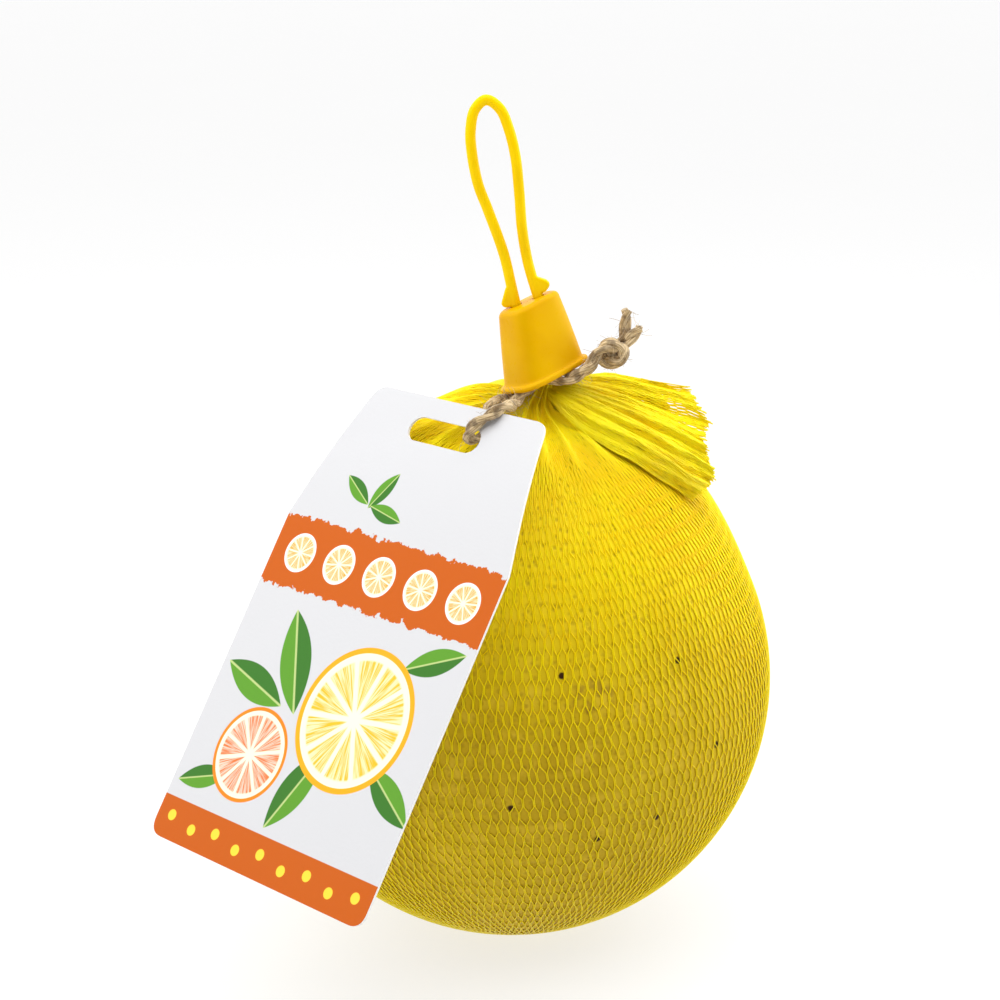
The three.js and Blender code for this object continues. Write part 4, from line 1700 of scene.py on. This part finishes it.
class TwineTree:
    """The geometry tree that lays two plies along every chain and lets stray fibres out of them."""

    SIZES = ("Step", "Ply Radius", "Ply Offset", "Lay", "Roughness", "Fibre Length", "Fibre Radius")
    PLY_SIDES = 12
    FIBRE_SIDES = 3
    FIBRE_BENDS = 4
    FRAY_START = 0.475
    FRAY = 1.5
    SPOT_SEED = 4
    SPIN_SEED = 7
    SIZE_SEED = 9

    def __init__(self) -> None:
        """Starts the tree with its named inputs."""
        inputs = dict.fromkeys(self.SIZES, "NodeSocketFloat")
        inputs.update({"Fibres": "NodeSocketFloat", "Material": "NodeSocketMaterial"})
        self.graph, given, self.output = new_tree("twine_lay", inputs)
        self.given = given.outputs

    def section(self) -> bpy.types.NodeSocket:
        """Draws one ply's round section, which keeps its own coordinates for the finish.

        Returns:
            The section's curve.
        """
        circle = self.graph.add("GeometryNodeCurvePrimitiveCircle", None, {
            "Resolution": self.PLY_SIDES, "Radius": self.given["Ply Radius"]})
        return self.graph.add("GeometryNodeStoreNamedAttribute", {
            "data_type": "FLOAT_VECTOR", "domain": "POINT"}, {
                "Geometry": circle.outputs[0], "Name": SECTION_PLACE,
                "Value": self.graph.add("GeometryNodeInputPosition").outputs[0]}).outputs[0]

    def plies(self) -> bpy.types.NodeSocket:
        """Winds two plies about each other along the chains, and opens them a little at the ends.

        Returns:
            Their mesh.
        """
        graph = self.graph
        line = graph.add("GeometryNodeMeshToCurve", None, {"Mesh": self.given["Geometry"]})
        route = graph.add("GeometryNodeResampleCurve", {"mode": "LENGTH"}, {
            "Curve": line.outputs[0], "Length": self.given["Step"]})
        run = graph.add("GeometryNodeSplineParameter").outputs
        side = graph.add("GeometryNodeInputNormal").outputs[0]
        along = graph.add("GeometryNodeInputTangent").outputs[0]
        off_middle = graph.math("ABSOLUTE", graph.math("SUBTRACT", run["Factor"], 0.5))
        frayed = graph.rescale(off_middle, self.FRAY_START, 0.5, 1.0, self.FRAY)
        reach = graph.math("MULTIPLY", self.given["Ply Offset"], frayed)
        lays = graph.math("DIVIDE", run["Length"], self.given["Lay"])
        turns = graph.math("MULTIPLY", lays, 2 * math.pi)
        section = self.section()
        marked = graph.add("GeometryNodeStoreNamedAttribute", {"data_type": "FLOAT", "domain": "POINT"}, {
            "Geometry": route.outputs[0], "Name": RUN_LENGTH, "Value": run["Length"]})
        joined = graph.add("GeometryNodeJoinGeometry")
        for phase in (0.0, math.pi):
            arm = graph.add("ShaderNodeVectorRotate", {"rotation_type": "AXIS_ANGLE"}, {
                "Vector": side, "Axis": along, "Angle": graph.math("ADD", turns, phase)})
            ply = graph.add("GeometryNodeSetPosition", None, {
                "Geometry": marked.outputs[0], "Offset": graph.scaled(arm.outputs[0], reach)})
            swept = graph.add("GeometryNodeCurveToMesh", None, {
                "Curve": ply.outputs[0], "Profile Curve": section, "Fill Caps": True})
            graph.tree.links.new(swept.outputs[0], joined.inputs[0])
        return joined.outputs[0]

    def roughened(self, shape: bpy.types.NodeSocket) -> bpy.types.NodeSocket:
        """Moves a mesh's surface in and out by a fine noise.

        Args:
            shape: the mesh.

        Returns:
            The rough mesh.
        """
        graph = self.graph
        place = graph.add("GeometryNodeInputPosition").outputs[0]
        lumps = graph.math("SUBTRACT", graph.noise(place, 1100.0, 3.0), 0.5)
        depth = graph.math("MULTIPLY", lumps, self.given["Roughness"])
        outward = graph.add("GeometryNodeInputNormal").outputs[0]
        return graph.add("GeometryNodeSetPosition", None, {
            "Geometry": shape, "Offset": graph.scaled(outward, depth)}).outputs[0]

    def fibre(self) -> bpy.types.NodeSocket:
        """Sweeps one bent fibre.

        Returns:
            Its mesh.
        """
        graph = self.graph
        length = self.given["Fibre Length"]
        half = graph.math("MULTIPLY", length, 0.5)
        rise = graph.math("MULTIPLY", length, 0.45)
        middle = graph.add("ShaderNodeCombineXYZ", None, {0: half, 2: rise}).outputs[0]
        end = graph.add("ShaderNodeCombineXYZ", None, {0: length, 2: half}).outputs[0]
        bow = graph.add("GeometryNodeCurveQuadraticBezier", None, {
            "Resolution": self.FIBRE_BENDS, "Start": (0.0, 0.0, 0.0), "Middle": middle, "End": end})
        section = graph.add("GeometryNodeCurvePrimitiveCircle", None, {
            "Resolution": self.FIBRE_SIDES, "Radius": self.given["Fibre Radius"]})
        return graph.add("GeometryNodeCurveToMesh", None, {
            "Curve": bow.outputs[0], "Profile Curve": section.outputs[0], "Fill Caps": True}).outputs[0]

    def strays(self, shape: bpy.types.NodeSocket) -> bpy.types.NodeSocket:
        """Scatters stray fibres over a mesh, each turned and sized at random.

        Args:
            shape: the mesh.

        Returns:
            The fibres, as instances.
        """
        graph = self.graph
        spots = graph.add("GeometryNodeDistributePointsOnFaces", None, {
            "Mesh": shape, "Density": self.given["Fibres"], "Seed": self.SPOT_SEED})
        spin = graph.add("FunctionNodeRandomValue", {"data_type": "FLOAT_VECTOR"}, {
            0: (-0.9, -0.9, 0.0), 1: (0.9, 0.9, 2 * math.pi), "Seed": self.SPIN_SEED})
        tilt = graph.add("FunctionNodeRotateRotation", {"rotation_space": "LOCAL"}, {
            "Rotation": spots.outputs["Rotation"], "Rotate By": spin.outputs[0]})
        size = graph.add("FunctionNodeRandomValue", {"data_type": "FLOAT"}, {
            2: 0.35, 3: 1.0, "Seed": self.SIZE_SEED})
        return graph.add("GeometryNodeInstanceOnPoints", None, {
            "Points": spots.outputs["Points"], "Instance": self.fibre(),
            "Rotation": tilt.outputs[0], "Scale": size.outputs[1]}).outputs[0]

    def build(self) -> bpy.types.NodeTree:
        """Builds the tree.

        Returns:
            The geometry tree.
        """
        plies = self.roughened(self.plies())
        whole = self.graph.add("GeometryNodeJoinGeometry")
        self.graph.tree.links.new(plies, whole.inputs[0])
        self.graph.tree.links.new(self.strays(plies), whole.inputs[0])
        end_tree(self.graph, whole.outputs[0], self.given["Material"], self.output)
        return self.graph.tree


@dataclass
class Twine:
    """Two-ply twine: round the neck, through the tag's slot, and tied in an overhand knot."""

    step: float = 0.55
    ply_radius: float = 0.98
    ply_offset: float = 0.72
    lay: float = 13.0
    roughness: float = 0.42
    fibres: float = 170000.0
    fibre_length: float = 3.6
    fibre_radius: float = 0.055
    samples: int = 8
    knot: Place = (26.3, -22.5, 174.4)
    upper_tail: tuple[Place, ...] = ((30.9, -20.0, 185.4), (30.6, -20.2, 181.6), (30.0, -20.6, 178.2))
    first_turn: tuple[Place, ...] = (
        (2.2, 2.2, 1.6), (-1.6, 2.4, 1.0), (-1.9, 1.6, -1.6), (1.1, 0.8, -2.8), (3.2, -0.8, -0.9),
        (2.2, -2.2, 1.5), (-0.6, -2.8, 2.1), (-3.0, -2.6, 0.6),
    )
    loop: tuple[Place, ...] = (
        (21.4, -26.0, 172.2), (19.0, -26.4, 169.9), (16.4, -25.9, 168.0), (13.6, -25.1, 167.0),
        (10.6, -24.7, 167.6), (7.0, -24.6, 167.0), (3.8, -26.4, 164.4), (1.0, -29.4, 162.2),
        (-0.4, -36.5, 162.6), (-1.4, -43.0, 164.0), (-4.2, -46.0, 163.3), (-8.0, -45.6, 160.9),
        (-10.8, -45.5, 158.5), (-11.6, -44.8, 156.5), (-10.3, -43.9, 155.2), (-7.4, -42.9, 156.0),
        (-4.4, -42.4, 159.0), (-6.4, -35.5, 160.3), (-5.0, -29.0, 161.8), (-3.0, -25.0, 161.6),
        (0.2, -20.5, 162.4), (3.6, -17.4, 165.2), (7.4, -15.4, 167.2), (11.8, -16.2, 168.6),
        (15.0, -18.6, 168.4), (18.0, -21.0, 168.4), (21.5, -22.8, 170.6),
    )
    second_turn: tuple[Place, ...] = (
        (-2.8, 0.9, -2.2), (0.2, -0.5, -3.0), (3.2, -2.4, -2.0), (3.6, -1.8, 0.6), (1.8, 0.4, 2.2),
        (-1.6, 1.4, 1.2), (-0.6, 1.2, -0.8), (1.4, 1.1, -0.7), (3.2, 1.0, 0.8),
    )
    side_tail: tuple[Place, ...] = ((31.0, -21.8, 177.0), (32.9, -21.6, 179.0), (34.6, -21.5, 180.9))

    def route(self) -> Array:
        """Works out the twine's middle line, from one cut end to the other.

        Returns:
            The points, in millimetres.
        """
        knot = np.array(self.knot)
        places = list(self.upper_tail) + [tuple(knot + np.array(p)) for p in self.first_turn]
        places += list(self.loop) + [tuple(knot + np.array(p)) for p in self.second_turn]
        return curve_through(places + list(self.side_tail), self.samples)

    def build(self) -> None:
        """Builds the twine and tells the frame."""
        line = wire_object("twine_line", [self.route()])
        piece = grow("twine_tie", line, TwineTree().build(), {
            "Step": self.step * MM, "Ply Radius": self.ply_radius * MM,
            "Ply Offset": self.ply_offset * MM, "Lay": self.lay * MM,
            "Roughness": self.roughness * MM, "Fibres": self.fibres,
            "Fibre Length": self.fibre_length * MM, "Fibre Radius": self.fibre_radius * MM,
            "Material": JuteFinish().build()})
        install(piece, "twine")


# ---- The tag ----


@dataclass
class HangTag:
    """The die-cut card: tapered, bent back near the top, printed on its front."""

    fold: Place = (-30.6, -51.7, 129.2)
    facing: Place = (-0.578, -0.609, 0.543)
    sideways: Place = (0.72, -0.694, -0.012)
    width: float = 83.0
    lower_length: float = 94.0
    upper_length: float = 41.3
    top_width: float = 62.2
    top_flare: float = 0.9
    bottom_corner: float = 4.5
    top_corner: float = 3.6
    thickness: float = 0.7
    bend_start: float = 8.0
    bend: float = 9.5 * DEGREE
    slot_width: float = 26.0
    slot_height: float = 7.2
    slot_level: float = 31.7
    grid_step: float = 1.5
    margin: float = 3.0
    die_reach: float = 12.0
    front_limit: float = 0.6

    def axes(self) -> tuple[Array, Array, Array]:
        """Works out the card's own directions.

        Returns:
            Its across, up and facing directions, of length 1.
        """
        facing = unit(np.array(self.facing))
        across = unit(np.array(self.sideways))
        return across, unit(np.cross(facing, across)), facing

    def bend_back(self, y: Array) -> Array:
        """Finds how far the card bends back.

        Args:
            y: heights over the fold.

        Returns:
            How far off its flat the card is there, in millimetres.
        """
        radius = (self.upper_length - self.bend_start) / self.bend
        past = np.maximum(0.0, y - self.bend_start)
        return -past ** 2 / (2 * radius)

    def world(self, points: Array) -> Array:
        """Moves points from the card's own frame."""
        across, up, facing = self.axes()
        return np.array(self.fold) + points @ np.array([across, up, facing])

    def corner(self, start: tuple[float, float], turn: tuple[float, float],
               end: tuple[float, float]) -> list[tuple[float, float]]:
        """Rounds a corner.

        Args:
            start: where the curve starts.
            turn: the sharp corner.
            end: where the curve ends.

        Returns:
            The points of the curve.
        """
        corner = []
        for t in np.linspace(0.0, 1.0, CORNER_POINTS):
            corner.append(tuple((1 - t) ** 2 * a + 2 * t * (1 - t) * b + t * t * c
                                for a, b, c in zip(start, turn, end)))
        return corner

    def outline(self) -> list[tuple[float, float]]:
        """Draws the card's edge.

        Returns:
            Its points, anticlockwise from the front.
        """
        half, top = self.width / 2, self.top_width / 2
        low, high = -self.lower_length, self.upper_length
        shoulder = top + self.top_flare
        right = self.corner((half - self.bottom_corner, low), (half, low),
                            (half, low + self.bottom_corner))
        upper = self.corner((shoulder, high - self.top_corner), (top, high),
                            (top - self.top_corner, high))
        edge = right + [(half, 0.0)] + upper
        return edge + [(-x, y) for x, y in reversed(edge)]

    def slot(self) -> list[tuple[float, float]]:
        """Draws the slot's edge, a bar with round ends.

        Returns:
            Its points, anticlockwise from the front.
        """
        radius = self.slot_height / 2
        reach = self.slot_width / 2 - radius
        edge = []
        for angle in np.linspace(-90, 90, 17) * DEGREE:
            edge.append((reach + radius * math.cos(angle), self.slot_level + radius * math.sin(angle)))
        return edge + [(-x, 2 * self.slot_level - y) for x, y in edge]

    def prism(self, outline: Sequence[tuple[float, float]]) -> bpy.types.Object:
        """Returns a tall prism over an outline, to cut the card with."""
        points = [(x, y, z) for z in (-self.die_reach, self.die_reach) for x, y in outline]
        return mesh_object("die", self.world(np.array(points)), loft_faces(2, len(outline), True))

    def slab(self) -> bpy.types.Object:
        """Makes the uncut card, bent, with a grid on both sides.

        Returns:
            The new object.
        """
        reach = self.width / 2 + self.margin
        xs = np.linspace(-reach, reach, int(2 * reach / self.grid_step) + 1)
        low, high = -self.lower_length - self.margin, self.upper_length + self.margin
        ys = np.linspace(low, high, int((high - low) / self.grid_step) + 1)
        rings = []
        for y in ys:
            off = float(self.bend_back(np.array(y)))
            back = [(x, y, off) for x in xs]
            front = [(x, y, off + self.thickness) for x in reversed(xs)]
            rings.append(np.array(back + front))
        faces = loft_faces(len(rings), 2 * len(xs), False)
        count = len(xs)
        last = (len(rings) - 1) * 2 * count
        for k in range(count - 1):
            quad = (k, k + 1, 2 * count - 2 - k, 2 * count - 1 - k)
            faces.append(tuple(reversed(quad)))
            faces.append(tuple(last + v for v in quad))
        return mesh_object("hang_tag_card", self.world(np.vstack(rings)), faces)

    def flatten(self, mesh: bpy.types.Mesh) -> None:
        """Gives the card its own UV map, measured across and up from the bend.

        Args:
            mesh: the finished card's mesh.
        """
        across, up, _ = self.axes()
        flat = mesh.uv_layers.new(name=CARD_UV)
        for loop, spot in zip(mesh.loops, flat.data):
            offset = np.array(mesh.vertices[loop.vertex_index].co) / MM - np.array(self.fold)
            spot.uv = ((offset @ across) / CARD_UV_SPAN + 0.5,
                       (offset @ up - CARD_UV_LOW) / CARD_UV_SPAN)

    def build(self) -> None:
        """Builds the tag and tells the frame."""
        piece = self.slab()
        cut_with(piece, self.prism(self.outline()), "INTERSECT")
        cut_with(piece, self.prism(self.slot()), "DIFFERENCE")
        piece.data.materials.clear()
        piece.data.materials.append(PrintFinish(shapes=printed_shapes()).build())
        piece.data.materials.append(CardFinish().build())
        facing = self.axes()[2]
        for face in piece.data.polygons:
            face.material_index = 0 if np.array(face.normal) @ facing > self.front_limit else 1
        piece.data.shade_smooth()
        piece.data.set_sharp_from_angle(angle=SHARP_ANGLE)
        self.flatten(piece.data)
        install(piece, "hang_tag")


def printed_shapes() -> tuple[PrintedShape, ...]:
    """Lays out the tag's print: citrus wheels, leaves and dots.

    Returns:
        The motifs, from the lowest layer up.
    """
    wheel, leaf, disc = Motif.WHEEL, Motif.LEAF, Motif.DISC
    green, dark, rind, flesh = (92, 152, 40), (56, 116, 34), (244, 170, 20), (250, 186, 30)
    fan = [(-16.0, -38.0, 15.0, 118.0), (-27.0, -47.0, 13.0, 165.0), (33.0, -62.0, 11.0, -30.0),
           (2.0, -69.0, 13.0, 248.0), (-31.0, -75.0, 9.0, 200.0), (30.0, -26.5, 10.0, 25.0)]
    shapes = [PrintedShape(leaf, x, y, size, dark, green, turn) for x, y, size, turn in fan]
    shapes.append(PrintedShape(wheel, 12.0, -47.0, 19.5, flesh, rind, 8.0))
    shapes.append(PrintedShape(wheel, -18.0, -65.0, 13.0, (240, 120, 60), (236, 132, 20), 20.0))
    for x, y, turn in ((-20.0, 11.0, 150.0), (-11.0, 12.5, 62.0), (-7.0, 6.5, -10.0)):
        shapes.append(PrintedShape(leaf, x, y, 6.5, dark, green, turn))
    for place, x in enumerate(np.linspace(-31.0, 31.0, 5)):
        shapes.append(PrintedShape(wheel, x, -10.0, 5.6, (246, 160, 40), (255, 252, 246), 11.0 * place))
    for place, x in enumerate(np.linspace(-36.0, 36.0, 9)):
        y = -87.5 if place % 2 == 0 else -89.1
        shapes.append(PrintedShape(disc, x, y, 1.5, (252, 214, 60)))
    return tuple(shapes)


# ---- The studio ----


@dataclass(frozen=True)
class Lamp:
    """One square lamp: where it hangs and its side in millimetres, and its power in watts."""

    name: str
    place: Place
    side: float
    power: float

    def hang(self, target: Place) -> None:
        """Hangs the lamp.

        Args:
            target: what it is aimed at, in millimetres.
        """
        light = bpy.data.lights.new(self.name, "AREA")
        light.size = self.side * MM
        light.energy = self.power
        holder = bpy.data.objects.new(self.name, light)
        aim = np.array(target) - np.array(self.place)
        holder.location = tuple(np.array(self.place) * MM)
        holder.rotation_euler = Vector(aim).to_track_quat("-Z", "Y").to_euler()
        bpy.context.scene.collection.objects.link(holder)


@dataclass
class Studio:
    """Pale floor, soft light and the camera."""

    camera_place: Place = (-3.2, -612.9, 291.3)
    camera_pitch: float = 75 * DEGREE
    lens: float = 80.27
    sensor: float = 36.0
    floor_half: float = 40000.0
    floor_level: float = -0.2
    floor_shade: Shade = (145, 145, 145)
    floor_second: Shade = (141, 141, 141)
    floor_glow: float = 0.71
    floor_roughness: float = 0.7
    front_strength: float = 0.06
    back_strength: float = 1.15
    target: Place = (0.0, 0.0, 90.0)
    lamps: tuple[Lamp, ...] = (
        Lamp("key", (20.0, -190.0, 1020.0), 1300.0, 10.8),
        Lamp("left", (-640.0, -160.0, 530.0), 600.0, 2.4),
        Lamp("fill", (640.0, 120.0, 420.0), 600.0, 2.7),
    )

    def floor(self) -> None:
        """Lays the floor, whose glow keeps it pale."""
        corners = ((-1.0, -1.0), (1.0, -1.0), (1.0, 1.0), (-1.0, 1.0))
        points = np.array([(x * self.floor_half, y * self.floor_half, self.floor_level) for x, y in corners])
        piece = mesh_object("floor", points, [(0, 1, 2, 3)])
        material, graph, shader = blank_material("pale_floor")
        patch = graph.noise(graph.object_place(), 3.0)
        tone = graph.blend(patch, linear(self.floor_shade), linear(self.floor_second))
        graph.tree.links.new(tone, shader.inputs["Base Color"])
        set_surface(shader, {"Roughness": self.floor_roughness, "Emission Color": WHITE_LIGHT,
                             "Emission Strength": self.floor_glow})
        dress(piece, material)

    def tent(self) -> bpy.types.World:
        """Makes the soft light from all round, which is strongest behind the object.

        Returns:
            The world.
        """
        world = bpy.data.worlds.new("studio")
        world.use_nodes = True
        graph = Graph(world.node_tree)
        heading = graph.add("ShaderNodeTexCoord").outputs["Generated"]
        depth = graph.part_of(heading, 1)
        strength = graph.add("ShaderNodeMapRange", None, {
            0: depth, 1: -1.0, 2: 1.0, 3: self.front_strength, 4: self.back_strength}).outputs[0]
        background = world.node_tree.nodes["Background"]
        background.inputs["Color"].default_value = WHITE_LIGHT
        graph.tree.links.new(strength, background.inputs["Strength"])
        return world

    def camera(self) -> None:
        """Sets up the camera."""
        lens = bpy.data.cameras.new("camera")
        lens.lens = self.lens
        lens.sensor_width = self.sensor
        holder = bpy.data.objects.new("camera", lens)
        holder.location = tuple(value * MM for value in self.camera_place)
        holder.rotation_euler = (self.camera_pitch, 0.0, 0.0)
        bpy.context.scene.collection.objects.link(holder)
        bpy.context.scene.camera = holder

    def build(self) -> None:
        """Sets up the floor, the lights, the world and the camera."""
        scene = bpy.context.scene
        scene.view_settings.view_transform = "Standard"
        scene.world = self.tent()
        self.floor()
        for lamp in self.lamps:
            lamp.hang(self.target)
        self.camera()


def build_net(form: FruitForm) -> None:
    """Builds the net: the bag, its neck and the two folds of its free end.

    Args:
        form: the fruit's form.
    """
    tree = yarn_tree()
    yarn = YarnFinish().build()
    bag = NetBag(form, Knit())
    bag.build(tree, yarn)
    NetNeck(bag).build(tree, yarn)
    sheet = TailSheet()
    knit = Knit(yarn_radius=0.2)
    NetFold("net_tail_front", sheet, knit, wales=130, start=-0.02, stop=0.53, lift=0.9, curl=-0.7,
            seed=2).build(tree, yarn)
    NetFold("net_tail_back", sheet, knit, wales=62, start=0.45, stop=1.0, thickness=0.7,
            under_reach=0.78, pleats=2.0, fray=0.03, seed=3).build(tree, yarn)


def main() -> None:
    """Builds the whole object, piece by piece."""
    logging.basicConfig(level=logging.INFO, format="%(message)s")
    Studio().build()
    form = FruitForm()
    Fruit(form).build()
    build_net(form)
    loop_seat = Seat()
    cap_seat = Seat(place=(9.0, -20.0, 167.0), lean=-21.3 * DEGREE, yaw=36.3 * DEGREE, slide=0.149)
    ClosureCap(cap_seat, loop_seat).build()
    LoopHandle(loop_seat).build()
    Twine().build()
    HangTag().build()


if __name__ == "__main__":
    main()
